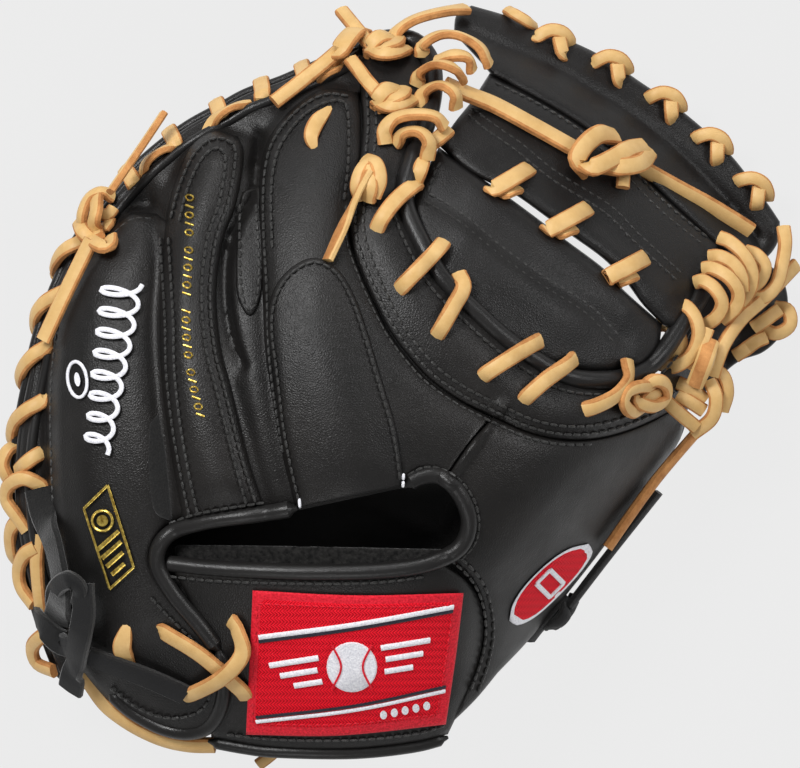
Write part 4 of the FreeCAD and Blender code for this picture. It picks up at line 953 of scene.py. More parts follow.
def make_marks():
    """Looped embroidery by the little finger, foil rings and bars, and a foil lozenge at the heel."""
    builder = Builder()
    axis = smooth([(-92.5, 34), (-94.5, 20), (-97, 4), (-99, -10), (-101, -22)], 1.0)
    stops = spaced(axis, LOOP_STEP)
    across = left_of(stops, 1.0) - stops
    turns = np.arange(len(stops)) * LOOP_STEP / LOOP_LENGTH * 2 * math.pi
    swing = np.linspace(6.8, 4.2, len(stops)) * np.cos(turns)
    along = np.gradient(stops, axis=0) / LOOP_STEP * (2.6 * np.sin(turns))[:, None]
    line_mark(builder, back, stops + across * swing[:, None] + along, 1.6, 6.2, 1.0)
    ring_mark(builder, back, (-107.4, 1.5), 3.2, 6.0, 8, 1.1, 5.4)
    mark(builder, back, disc((-107.4, 1.5), 1.0, 2.4, 8), 4.8, 5.8)
    place(builder.make("finger_side_embroidery", [WHITE]), (), "hand")

    builder = Builder()
    line = smooth([(-70, 62), (-70.2, 45), (-71, 28), (-70.8, 14.7), (-69, 1.3), (-66.3, -10.3)], 1.0)
    for index, (x, y) in enumerate(spaced(line, FOIL_PITCH)):
        if index % 7 == 5:
            continue
        if index % 2:
            line_mark(builder, back, [(x - 1.4, y + 0.5), (x, y), (x + 1.4, y - 0.5)], 0.7, 5.2, 0.5)
        else:
            ring_mark(builder, back, (x, y), 1.35, 0.95, -15, 0.6, 5.2)
    place(builder.make("ring_finger_foil", [GOLD]), (), "hand")

    builder = Builder()
    corners = [(-97.2, -33.7), (-105.2, -41.5), (-96.6, -68.2), (-88.6, -61)]
    for (ax, ay), (bx, by) in zip(corners, corners[1:] + corners[:1]):
        line_mark(builder, back, [(ax, ay), ((ax + bx) / 2, (ay + by) / 2), (bx, by)], 0.9, 5.6, 0.5)
    ring_mark(builder, back, (-99, -45.5), 3.4, 3.4, 0, 0.9, 5.7)
    mark(builder, back, disc((-99, -45.5), 2.0), 5.2, 5.8)
    for step, reach in ((0, 4.4), (3.2, 4.0), (6.4, 3.4), (9.6, 2.6)):
        x, y = -97 + step * 0.34, -52 - step
        line_mark(builder, back, [(x - reach * 0.8, y - reach * 0.7), (x, y),
            (x + reach * 0.8, y + reach * 0.7)], 1.5, 5.6, 0.5)
    place(builder.make("heel_foil", [GOLD]), (), "hand")


# ---- Stitching -------------------------------------------------------------------------------------
# Each row of stitches: its line, how high it lies, and how far it steps off the line to its left.
BACK_STITCHES = [(INDEX_SEAM[1:], 2.9, 1.9), (INDEX_SEAM[1:], 2.9, 4.6), (INDEX_SEAM[4:], 2.6, -1.6),
    (THUMB_SEAM, 2.9, 1.9), (THUMB_SEAM, 2.9, 4.6), (THUMB_SEAM[:4], 2.8, -1.6),
    ([(-80, 49), (-78.2, 22), (-77.8, 5), (-76, -12), (-73.3, -28), (-70, -44)], 4.6, 0),
    ([(-77.2, 49), (-75.4, 22), (-75, 5), (-73.2, -12), (-70.5, -28), (-67.2, -43.5)], 4.9, 0),
    ([(-76.5, 55), (-73.5, 66), (-68.5, 77), (-62, 82), (-55.5, 80), (-55, 74), (-57, 61), (-61.3, 48),
     (-63.2, 30), (-61.7, 12), (-58.7, 0), (-55.7, -12), (-52.2, -26), (-48, -39.5)], 4.7, 0),
    ([(-73.6, 54), (-70.8, 65), (-66.5, 74.5), (-61.5, 78.8), (-58.2, 76), (-59.8, 62), (-64.2, 48),
     (-66, 30), (-64.5, 12), (-61.5, 0), (-58.5, -12), (-55, -26), (-51, -40)], 5.2, 0),
    ([(-53.3, 60), (-53.4, 48), (-53.2, 36), (-52, 27.5), (-49.9, 24.2), (-47.8, 27.5), (-46.9, 38),
     (-47.3, 50), (-48, 60)], 3.4, 0),
    ([(-38.8, -23), (-42, -3), (-43.6, 12), (-44.2, 30), (-45.1, 45), (-45.6, 60), (-45, 71), (-42.6, 80.5),
     (-37, 88.6), (-30.5, 94.2), (-24, 96.9), (-17, 96)], 3.4, 0),
    ([(-42.5, 45), (-43, 60), (-42.4, 70.5), (-40.2, 79), (-35.2, 86.5), (-29.5, 91.6), (-23.5, 94.2),
     (-17.8, 93), (-17.2, 75), (-18.6, 61)], 3.9, 0),
    ([(-33.6, -39), (-36.4, -27), (-38.8, -14), (-40.8, 3), (-42.5, 16), (-42.2, 25.5), (-39.3, 33),
     (-34.4, 38.2), (-28, 40.6), (-21.3, 37), (-16.2, 28.5), (-12.3, 17.5), (-9.3, 7.5), (-6.3, -2.5),
     (-3.3, -12.5), (-1.3, -22), (0, -32)], 5.6, 0),
    ([(-112, -75), (-115, -50), (-116.2, -25), (-116.2, 0), (-113.8, 19.5), (-109.9, 30), (-104.2, 40.5),
     (-97, 48.5), (-89.5, 54.8), (-82.5, 55)], 2.9, 0), (STRAP_ARC[:-1], 3.0, 0.2),
     (STRAP_ARC[:-1], 3.0, 2.8),
    ([(-77, -64), (-60, -65.6), (-30, -66.4), (-8, -66), (8, -64.2)], 2.9, 0),
    ([(-58, -117), (-41, -118.6), (-16, -118.8), (5, -116.8), (15, -114)], 2.8, 0),
    ([(-83, -71), (-76, -78.5), (-66.5, -87.5)], 4.4, 0),
    ([(-97, -101.5), (-88, -108), (-78, -111.5), (-68, -110), (-63.5, -104.5), (-63, -97)], 4.4, 0),
    ([(-77, -46.5), (-66, -42.8), (-45, -39.4)], 4.9, 0),
    ([(2.5, -30.5), (8, -27.6), (15, -28.6), (20, -32), (24.6, -38.5), (26.3, -46), (25, -53), (20, -58.6)],
     3.4, 0),]
# Rows on the web: each line, and how high it lies.
WEB_STITCHES = [
    ([(21, 121), (36, 114.3), (51, 108.3), (61, 102.4), (76, 93.4), (91, 82.4), (106, 68.5), (116, 58.5),
     (121, 50)], 0.4),
    ([(33, 103.4), (49, 95.6), (65, 84.6), (88, 61.5), (103, 49)], 0.3),
    ([(31.5, 100.8), (47.5, 93), (63.5, 82), (86, 59), (101, 46.8)], 0.3),
    ([(24, 92.5), (30, 87.5), (40, 80.5), (52, 70.8), (70, 59.6), (80, 49.7), (94, 37)], 0.5),
    ([(22.6, 90), (28.5, 85), (38.5, 78), (50.5, 68.3), (68.3, 57.2), (78.3, 47.4), (92.5, 34.6)], 0.6),
    ([(9.5, 63.5), (21, 56.5), (34, 45.6), (48, 35.6), (63.5, 25.8), (73, 16)], 0.5),
    ([(8, 61), (19.6, 54.1), (32.6, 43.3), (46.6, 33.2), (62, 23.4), (71, 14)], 0.5),
    ([(9.5, 63.5), (10.5, 68), (13.5, 74)], 0.4),]


def make_stitching():
    builder = Builder()
    for line, lift, side in BACK_STITCHES:
        stitches(builder, back, line, lift, step_over=side)
    place(builder.make("back_stitching", [THREAD]))
    builder = Builder()
    for line, lift in WEB_STITCHES:
        stitches(builder, web, line, lift)
    stitches(builder, back, WEB_ROLL[8:20], 2.8, step_over=-4.6)
    place(builder.make("web_stitching", [THREAD]))
    builder = Builder()
    stitches(builder, back, [(-33.5, -37.5), (-33.2, -41.5)], 5.6, width=1.1)
    stitches(builder, back, [(1.2, -29.5), (1.0, -34.5)], 5.4, width=1.1)
    place(builder.make("frayed_thread_ends", [WHITE]))


# ---- Bindings --------------------------------------------------------------------------------------
def make_bindings():
    left = tube("opening_binding_left", OPENING_LEFT, back, [3.2, 3.2, 3.0, 3.0, 2.8, 2.8, 3.2, 3.2], 5.6,
        BINDING)
    place(left)
    right = tube("opening_binding_right", OPENING_RIGHT, back, [2.6, 2.4, 2.0, 1.6, 1.2, 0.6, 0.2], 5.8,
        BINDING)
    place(right, ["hand_opening_binding"])
    hem = [(-64, -119.2), (-52, -121.4), (-41, -122.6), (-16, -123), (4, -121), (16, -118)]
    place(tube("strap_hem_roll", hem, back, 1.0, 4.6, BINDING), ["strap_hem_binding"])
    corner = [(-97.5, -102), (-93, -106.6), (-88, -110.4), (-79, -115), (-70.5, -116.4), (-63.6, -114),
        (-59.6, -107), (-58.6, -98), (-60.5, -88)]
    place(tube("heel_corner_roll", corner, back, [2.2, 2.2, 2.4, 2.8, 3.2], 5.2, BINDING),
        ["heel_binding"])
    rim = smooth(FINGER_RIM, 3.0)
    for name, aside, lift, nodes in (("rim_roll_outer", 1.2, -3.6, ["outer_rim_welt"]),
            ("rim_roll_middle", -0.9, -0.4, []), ("rim_roll_inner", -4.2, 1.6, [])):
        place(tube(name, left_of(rim, aside), back, lift, 3.6, BINDING, sides=10), nodes)
    rise = [1.8, 2.2, 2.6, 2.6, 2.6, 2.6, 2.4, 2.2, 2.2, 2.2, 2.4, 2.4, 2.2]
    place(tube("web_base_roll", WEB_ROLL, back, rise, 6.4, BINDING, sides=14),
        ["web_base_welt_fingers", "web_base_welt_thumb"])


# ---- Web -------------------------------------------------------------------------------------------
def make_web():
    def web_sheet(name, loop, nodes, lift=0.0, **more):
        piece = panel(name, loop, web, lift - WEB_THICKNESS, lift, WEB_BLACK, edge=2.8, seam=0.5, **more)
        return place(piece, nodes)

    lower = outline(
        [(13, 79), (7.5, 69), (3.5, 60)],
        [(3.5, 60), (6.5, 50), (12.5, 38.5), (21, 28), (32, 17.5), (43, 10), (54, 5), (68, 4), (80, 6)],
        [(80, 6), (86, 12), (87.5, 20)],
        [(87.5, 20), (75, 31), (68, 38.5), (56, 47.5), (49, 52.8), (38, 61), (26, 69.5), (13, 79)])
    web_sheet("web_lower_leather", lower, ["web_lower_panel_fingers", "web_lower_panel_thumb"], puff=1.4,
        puff_width=12)
    upper = outline(
        [(24, 94.5), (18, 87), (13.5, 80)],
        [(13.5, 79), (22, 71.5), (31, 66.5), (38.5, 63), (49, 55.5), (57, 49.6), (67.5, 42), (75, 34.5),
         (81, 26.5), (88, 19.5)],
        [(88, 19.5), (92.5, 19), (98, 26.5), (99.5, 33), (103.5, 41), (107.8, 47)],
        [(107.8, 47), (90, 62.5), (75, 76), (60, 87.5), (45, 96.5), (30, 104)],
        [(30, 104), (24, 94.5)])
    web_sheet("web_upper_leather", upper, ["web_upper_panel_fingers", "web_upper_panel_thumb"], lift=0.5,
        puff=0.5)
    top = outline(
        [(18, 117.5), (19, 124), (24, 127)],
        [(24, 127), (36, 123.5), (50, 118), (66, 111), (82, 100.5), (93, 93), (110, 78), (122, 62.5),
         (127.5, 54.5)],
        [(127.5, 54.5), (127, 48), (122, 42), (113, 43.5), (106, 46)],
        [(106, 46), (90, 61), (75, 75), (60, 86.5), (45, 95.5), (31, 103)],
        [(31, 103), (25, 110), (18, 117.5)])
    web_sheet("web_top_bar_leather", top, ["web_top_bar_fingers", "web_top_bar_thumb"], lift=1.2, puff=0.4)


# ---- Laces -----------------------------------------------------------------------------------------
def edge_loops(builder, rim, field, under, places, slant, reach=7.5, stand=3.6, width=LACE):
    """Loops of lace over an edge: places are shares of the rim's length."""
    line = smooth(rim, 1.0)
    for share in places:
        index = int(share * (len(line) - 1))
        middle, along = line[index], line[min(index + 2, len(line) - 1)] - line[max(index - 2, 0)]
        along /= np.linalg.norm(along)
        out = np.array([-along[1], along[0]])
        points = []
        for inward, shift, lift, face in ((reach + 1.2, -0.62, -1.4, 0), (reach, -0.5, 1.6, 0),
                (reach * 0.45, -0.25, 2.7, 0), (0.0, 0.0, 1.6, 0), (-stand, 0.3, 0.0, 2),
                (0.0, 0.45, -2.2, 1), (reach * 0.6, 0.5, -2.6, 1), (reach + 1.2, 0.5, 1.0, 1)):
            x, y = middle - out * inward + along * slant * shift
            if face == 2:
                height = (field.read(field.z, x, y) + under.read(under.z, x, y)) / 2
                points.append((x, y, height))
            else:
                surface = (field, under)[face]
                points.append(tuple(surface.at(x, y, lift).reshape(3)))
        path = smooth(points, 1.0)
        along_3d = np.array([along[0], along[1], 0.0])
        tangent = np.gradient(path, axis=0)
        ups = np.cross(tangent, np.broadcast_to(along_3d, tangent.shape))
        ups *= np.sign(ups[0, 2] or 1.0)
        ribbon(builder, path, ups, np.zeros(len(path)), width)


# The rim lace beside the little finger: each band from the edge panel out and over the edge.
RIM_BANDS = [
    [(-103.5, 49, 0), (-107, 47.2, 3.8), (-111.5, 45, 4), (-114.3, 42, 1), (-115.6, 38.5, -5),
     (-114, 36, -11)],
    [(-109.5, 32, 0), (-113.3, 30.2, 3.8), (-118, 27.6, 3.6), (-121.3, 24, 0.5), (-122, 19.8, -5),
     (-120, 17, -11)],
    [(-115, 13.6, 0), (-117.6, 12.4, 3.6), (-122, 9.8, 3.4), (-125.8, 5.6, 0.5), (-127, 1, -5),
     (-125, -2, -11)],
    [(-117, -4.4, 0), (-119.8, -6, 3.6), (-125, -9, 3.4), (-128.8, -13, 0.5), (-129.8, -18.5, -5),
     (-128, -22, -11)],
    [(-118.8, -22.6, 0), (-121.6, -24, 3.4), (-125, -26.6, 3.4), (-127.4, -29, 0)],
    [(-128, -20.5, -4), (-131.2, -22.5, 0), (-132.6, -27, 1), (-130.6, -32, 0), (-128, -35.5, -4)],
    [(-117.5, -36.5, 0), (-119.8, -34, 3.6), (-125.4, -31.4, 4.8), (-130.6, -34, 3.4), (-131.4, -39, 2),
     (-127.6, -44.6, 2), (-124.5, -49, 1)],
    [(-124, -44, -3), (-128, -46, 0), (-130.2, -50, -1), (-129.6, -57, -4), (-127, -61, -9)],
    [(-121.5, -54.5, 2.5), (-125.4, -57, 2.6), (-127.4, -62, 1), (-126.6, -68, 1), (-122.5, -73.8, 2.6)],
    [(-120.8, -50, 1.5), (-121.2, -60, 2.4), (-120.2, -72, 2.6), (-118.6, -84, 2)],
    [(-115.5, -82.5, 1.5), (-119.4, -84, 4), (-122.9, -88, 1.5), (-121.6, -93.4, 0), (-115.8, -96, 2)]]


def make_laces():
    builder = Builder()
    edge_loops(builder, FINGER_RIM, back, palm, [0.67, 0.74, 0.805, 0.865, 0.92], 2, reach=2.6)
    for stops in RIM_BANDS:
        strand(builder, back, stops, 5.0, THICK_LACE)
    place(builder.make("rim_lace", LACES), ["rim_lace_loops"])

    lace_piece("crescent_laces", back, [
        [(-86, 69.5, 1), (-84.5, 74, 3.8, -30), (-80, 77.6, 4.2, -40), (-74.5, 79.5, 1)],
        [(-65.5, 83.5, 1), (-61.5, 88.6, 3.8, -30), (-56.5, 92, 4.2, -40), (-50, 93.8, 1)],
        [(-29.5, 100, 1), (-25, 104, 3.6, -30), (-18, 106.8, 1)],
        [(-28.4, 77.6, 2), (-29.6, 82.5, 5, 15), (-27.6, 87.5, 5, 25), (-23, 92, 2)]], width=5.4,
         thickness=LACE_THICKNESS, pointed=True)

    lace_piece("web_base_lace", back, [
        [(-8, 50.5, 1), (-6, 55, 5, -12), (-1.5, 61, 6.5, -20), (3.5, 65.3, 5.5, -12), (5.6, 66.6, 1)],
        [(-0.5, 31, 1), (1.8, 33.6, 4.6), (7, 39, 6.5, 12), (12, 44.2, 5.8, 12), (14.4, 47, 2)],
        [(12, 15.6, 1), (14, 19, 4.6), (17.6, 25.5, 6.5, 12), (21, 32, 5.8, 12), (19.6, 36.5, 2)],
        [(27, 2.2, 1), (30, 4.4, 4.6), (36.5, 8.6, 6.5, 12), (43, 12.6, 5.8, 12), (46.4, 14.4, 2)],
        [(40.5, -5.8, 1), (43.4, -3, 4.6), (49, 1.8, 6.5, 12), (55, 6, 5.8, 12), (57.8, 8.4, 2)],
        [(60, -8.8, 1), (65.5, -7.2, 4.6, 20), (71.8, -3.8, 6.2, 25), (76, 1.6, 6.2, 20), (75.6, 8, 3)]],
         ["web_base_lace_fingers", "web_base_lace_thumb"], width=5.4)

    builder = Builder()
    for (ax, ay), (bx, by) in [((31.5, 65), (42, 71.3)), ((50, 51.7), (61.5, 58)),
            ((70.3, 36.2), (80.7, 41.6))]:
        middle = ((ax + bx) / 2, (ay + by) / 2)
        strand(builder, web, [(ax - 1.5, ay - 1.2, -2), (ax, ay, 2.4), (*middle, 4.2), (bx, by, 2.4),
            (bx + 1.2, by + 0.8, -2)], 6)
        strand(builder, web, [(ax + 2, ay - 2.6, -2), (ax + 4, ay - 1.8, 1.6, -25),
            (ax + 7, ay - 0.5, 1.0, -30), (ax + 9, ay, -2)], 4)
    place(builder.make("web_ties", LACES), ["web_tie_laces_fingers", "web_tie_lace_thumb"])

    builder = Builder()
    strand(builder, web, [(36, 125.4, -2), (38.5, 124, 2.8), (42.5, 121.6, 2.8), (45.2, 119.6, -2)], 3.8)
    for x, y, lean in [(44.7, 114.2, 0), (64, 106, 4), (82, 94.2, 8), (97.6, 80.8, 12), (111.6, 66.6, 18)]:
        cosine, sine = math.cos(math.radians(lean)), math.sin(math.radians(lean))
        for shape, width in (
                ([(0.4, 0.8, -2), (2.0, 2.6, 2.4), (5.6, 4.4, 3.8), (9.6, 3.8, 3.4), (12.0, 1.2, 1.2),
                 (12.4, -0.6, -1.5)], 4.6),
                ([(8.6, 2.4, 2.4), (9.0, 0, 3.2), (9.6, -3.0, 2.8), (10.0, -5.6, -2)], 4.8)):
            strand(builder, web, [(x + u * cosine + v * sine, y - u * sine + v * cosine, lift + 0.6) for u,
                v, lift in shape], width)
    place(builder.make("top_bar_lace", LACES), ["top_bar_lace_fingers", "top_bar_lace_thumb"])

    lace_piece("web_cross_strand", web, [([(15.5, 99.9, 8), (22, 97, 5.5), (32, 93, 3), (45, 86, 2.6),
        (57, 79.3, 2.4), (61, 77, 2)], 6.6)], ["web_cross_lace"])
    builder = Builder()
    strand(builder, web, [(61.5, 71, 2), (59, 74.5, 6), (61.5, 79.5, 8, 15), (66.5, 83.4, 8.2, 20),
        (72, 82.6, 5)], 6.6, THICK_LACE)
    strand(builder, web, [(60.5, 72.5, 4), (64.5, 72.4, 8.6, 15), (70, 74.8, 9, 10), (76.5, 78.4, 8),
        (81.5, 79.4, 5)], 6.4, THICK_LACE)
    strand(builder, web, [(67, 72.5, 4), (73.5, 72.4, 8.4, 20), (80.5, 73.8, 8, 15), (83.4, 77.5, 4)], 6,
        THICK_LACE)
    strand(builder, web, [(74.8, 72.5, 4), (74.6, 69, 3.6, 10), (74.4, 65.6, 3.2, 20)], 4.6)
    place(builder.make("web_cross_knot_lace", LACES), ["web_cross_knot"])


def make_index_lace():
    lace_piece("index_side_lace", back, [
        [(-2.7, 114, 3), (-1.2, 117.6, 6, -20), (3.2, 121, 9, -25), (8.8, 123.2, 10, -20),
         (15.8, 124.8, 10, -15), (22, 125.6, 8)],
        [(7.3, 109.6, 4), (8, 113.6, 8, -20), (13.5, 116.6, 12, -20), (20, 116.2, 14, -25),
         (26.6, 112.4, 14, -20), (29.6, 106.5, 9)],
        [(12, 107.6, 9), (17.5, 109.6, 13), (22.6, 108.8, 13, -15), (24, 104.6, 9)],
        [(5.6, 99.8, 3), (7.2, 104.2, 8, -20), (12.6, 106.6, 13.5, -25), (18, 105.2, 14, -20),
         (21, 101.6, 9)],
        [(6.3, 92.6, 3), (8.2, 97.4, 7, -20), (13.4, 99.6, 11, -25), (18.2, 97, 12, -20), (18.6, 92, 7)],
        [(-4.8, 80, 3), (-5, 84.6, 6, -15), (-1.6, 88.4, 9, -20), (5, 89.8, 12, -20), (11.6, 89, 12, -20),
         (14.8, 85.6, 9)],
        [(-1.4, 80.2, 3), (1.8, 83.6, 8, -20), (6.6, 83.8, 11, -25), (9.6, 80.4, 10, -15), (9, 75, 5)],
        [(10.2, 79.6, 3), (13, 82, 6), (16, 84.6, 5)],
        [(7.8, 75.5, 3), (6.8, 71.5, 5), (5.2, 67.6, 2)]], ["web_index_lace"], width=5.2)


def free_strand(builder, stops, up=(0, 0, 1), width=LACE, thickness=LACE_THICKNESS):
    """A lace through stops (x, y, z, roll) in space."""
    stops = np.array([tuple(stop) + (0.0,) * (4 - len(stop)) for stop in stops], float)
    line = smooth(stops, 1.1)
    ribbon(builder, line[:, :3], np.broadcast_to(np.array(up, float), (len(line), 3)), line[:, 3], width,
        thickness)


def tongue_z(x, y, gap):
    """Height of the leather tongue at the tip of the thumb."""
    return np.stack([x, y, 22 - 0.35 * (x - 110) + 0 * gap], axis=-1)


def make_thumb_lace():
    """The tongue at the tip of the thumb, and the bundle that joins the web to it."""
    loop = outline([(93, 24), (97, 38), (104, 46.5), (113, 46), (122, 41), (128, 36), (130.2, 27),
        (128, 17), (122, 10.8), (114.5, 8), (109, 4), (104, -1), (98, -7), (93, -4), (91, 8), (93, 24)])
    place(slab("thumb_tip_tongue", [loop], tongue_z, lambda x, y, gap: tongue_z(x, y, gap) - (0, 0, 3),
        WEB_BLACK), ["thumb_tip_tongue"], "thumb")
    builder = Builder()
    for stops in [
            [(99, 34, 43), (101.5, 34.4, 47, -20), (105.4, 31.6, 49, -25), (107.6, 27, 48, -25),
             (105.8, 22.4, 46), (101, 19, 42)],
            [(101.5, 38.6, 44), (104.6, 38.6, 47, -20), (110, 35.4, 49, -25), (113, 30.4, 48, -25),
             (112, 25.4, 46), (107.6, 21.4, 42)],
            [(103.6, 42.6, 42), (106.8, 42.6, 45, -15), (111, 40.4, 46, -20), (113.8, 36.4, 46, -20),
             (114.6, 31, 44)],
            [(107, 49, 38), (110.4, 47.4, 41, -15), (115, 43, 43, -20), (117.6, 37.4, 42, -20),
             (116.8, 31, 40), (113.6, 26.4, 37)],
            [(116, 44.4, 32), (119.4, 43, 36, -20), (122, 39.4, 37, -25), (120.6, 35, 36, -20),
             (116.6, 31.4, 34)],
            [(128.6, 52.4, 20), (129, 47, 25, -20), (128, 40.6, 29, -25), (126, 33.4, 32, -25),
             (121.8, 29.2, 34, -15), (116.4, 29.4, 33)],
            [(85, 19.4, 44), (88.6, 19.8, 48, -20), (92.6, 17.4, 49, -25), (93.8, 13.2, 48, -20),
             (91.4, 9.8, 47), (87.6, 8.6, 44)],
            [(91.4, 25.6, 44), (95.4, 26, 48, -20), (98.8, 21.6, 50, -30), (99.6, 15.6, 50, -30),
             (97.2, 9.6, 49, -20), (91.6, 5.8, 48), (87.4, 6.6, 44)],
            [(80.6, 8, 49), (83, 11, 51), (84, 15.4, 47)],
            [(102.8, 18.6, 48), (100.4, 12.4, 49), (97.4, 5, 46)],
            [(126, 25.6, 20), (130, 24.6, 23, -20), (130.6, 19.8, 24, -25), (126.4, 17, 24, -20),
             (121.6, 18.2, 22)],
            [(118.6, 18.8, 25), (122.6, 21.6, 27), (127, 24.8, 24)],
            [(115.6, 11.4, 25), (119, 14, 26), (122.4, 15.6, 24)],
            [(112.4, 9.4, 25), (114.8, 11, 26), (117, 12.6, 25)],
            [(92.6, 0.6, 42), (97, -1.6, 44), (102, -5.4, 42)],
            [(93, -3.8, 43), (97, -6, 44.5), (101.4, -8.8, 42)],
            [(88.4, -5.2, 44), (93, -9.4, 46), (99, -14.4, 41)],
            [(104.4, 5, 42), (108.2, 2.4, 42, -25), (109.4, -3, 41, -30), (107.6, -9, 39, -20)],
            [(103.4, 1.4, 44), (105.6, -4.6, 44.5, -10), (104.2, -11.4, 42, -15), (98, -16.6, 38)]]:
        free_strand(builder, stops, width=4.8)
    free_strand(builder, [(132.8, 40, 20, -25), (122.6, 29.4, 32, -25), (114.4, 22, 39, -20),
        (109, 14.6, 43, -20), (106.2, 8.2, 45, -10), (104.6, 2.6, 44)], width=4.8)
    place(builder.make("thumb_side_lace", LACES), ["web_thumb_lace"])
    builder = Builder()
    free_strand(builder, [(103.6, 14, 47), (101.8, 7.6, 51, 15), (98.6, 0, 46)], width=6, thickness=4)
    place(builder.make("thumb_side_knot_end", LACES[::-1]), (), "thumb")
    lace_piece("thumb_knot_lace", back, [
        ([(86, -1.6, 4), (80.6, -0.8, 7.4, -15), (76, -2.4, 7.4, -15), (74.6, -6.4, 6), (77.4, -9.4, 5),
         (81, -7.6, 4)], 4.4),
        ([(80.4, -1.4, 5), (84.6, 1.2, 8, -10), (88.6, -0.2, 8.4, -15), (89, -4.8, 8, -15),
         (84.4, -7.4, 7.6), (79.4, -6.2, 6), (78.2, -4.2, 4)], 4.6),
        ([(79, -7, 3), (83, -4, 6), (87.5, -2.6, 5)], 5)], ["thumb_lace_knot"])


def overhand(builder, x, y, turn=0.0):
    """A tight knot of two wide bands, one across the other."""
    cosine, sine = math.cos(math.radians(turn)), math.sin(math.radians(turn))
    for shape, width in (
            ([(-4.0, -3.4, 3), (-3.6, 0.2, 8.2, 20), (-0.8, 2.6, 8.8, 15), (3.4, 1.8, 5)], 5.6),
            ([(-2.6, -3.2, 5), (1.0, -1.2, 8.6, -15), (4.2, 0.4, 8.0, -10), (5.0, 2.4, 4)], 5.0),
            ([(-4.6, -1.8, 4), (-0.6, -3.2, 7.8, 20), (4.2, -2.4, 8.2, 20), (8.0, -1.0, 4)], 4.8)):
        strand(builder, back, [(x + u * cosine - v * sine, y + u * sine + v * cosine, *rest) for u, v,
            *rest in shape], width, THICK_LACE)


def make_knots():
    lace_piece("fingertip_knot_one", back, [
        ([(-12.6, 118, 2), (-15.6, 117.4, 8.4, 10), (-19.4, 112.4, 9.4, 10), (-20.8, 107.4, 3)], 7.2),
        ([(-19.5, 112.4, 6), (-24.5, 107.8, 6.4, -20), (-33, 101, 6, -20), (-42, 94, 5.5, -20)], 5)],
         ["fingertip_knots"])
    builder = Builder()
    overhand(builder, -5.6, 113.4, -4)
    strand(builder, back, [(-9, 112.4, 6), (-13.4, 117.4, 7, -10), (-19.6, 125, 7, -10)], 4.8, THICK_LACE)
    overhand(builder, -3.4, 95.6, 2)
    strand(builder, back, [(-6.2, 95.4, 6), (-10.8, 101, 6.4, -10), (-16.6, 108.4, 6.4, -10)], 4.8,
        THICK_LACE)
    place(builder.make("fingertip_knot_two", LACES))
    lace_piece("index_knot", back, [
        ([(-13, 61.6, 3), (-14.4, 66, 8, -15), (-12.6, 71.8, 9, -15), (-9.4, 74.2, 6)], 4.6),
        ([(-11.4, 74.6, 5), (-8, 73.2, 9, -10), (-6.8, 67.8, 9, -10), (-8.6, 62.4, 5)], 5),
        ([(-10.4, 61, 4), (-9.8, 66, 8.8), (-10.6, 72, 8.6)], 5)])
    lace_piece("index_knot_end", back, [([(-10.6, 70.6, 9.6, 45), (-14, 63, 8.6, 60), (-18.6, 53, 6.6, 65),
        (-24, 41, 5.6, 60)], 5)], thickness=LACE_THICKNESS, turned=True)
    builder = Builder()
    strand(builder, back, [(-96, 62.4, 3), (-99.6, 64, 7, 10), (-103.6, 62, 8, 15), (-105.8, 57, 8, 15),
        (-106, 52.5, 5)], 4.6, THICK_LACE)
    strand(builder, back, [(-107, 54, 4), (-105.2, 50, 8.2, -10), (-100.6, 46.4, 9, -20), (-97, 45.4, 6),
        (-96.2, 48.6, 3)], 5.2, THICK_LACE)
    strand(builder, back, [(-101.2, 63, 7), (-101.2, 58, 9.6, 15), (-102, 53.4, 9, 10), (-100.6, 48.6, 7)],
        5, THICK_LACE)
    strand(builder, back, [(-99.4, 56.6, 4), (-97.4, 56.4, 5.4), (-95.6, 58.6, 4)], 4.2)
    strand(builder, back, [(-99.4, 52, 4), (-97.6, 52.6, 5.4), (-96.6, 55, 4)], 3.8)
    place(builder.make("pinky_side_knot", LACES), ["finger_knot"])


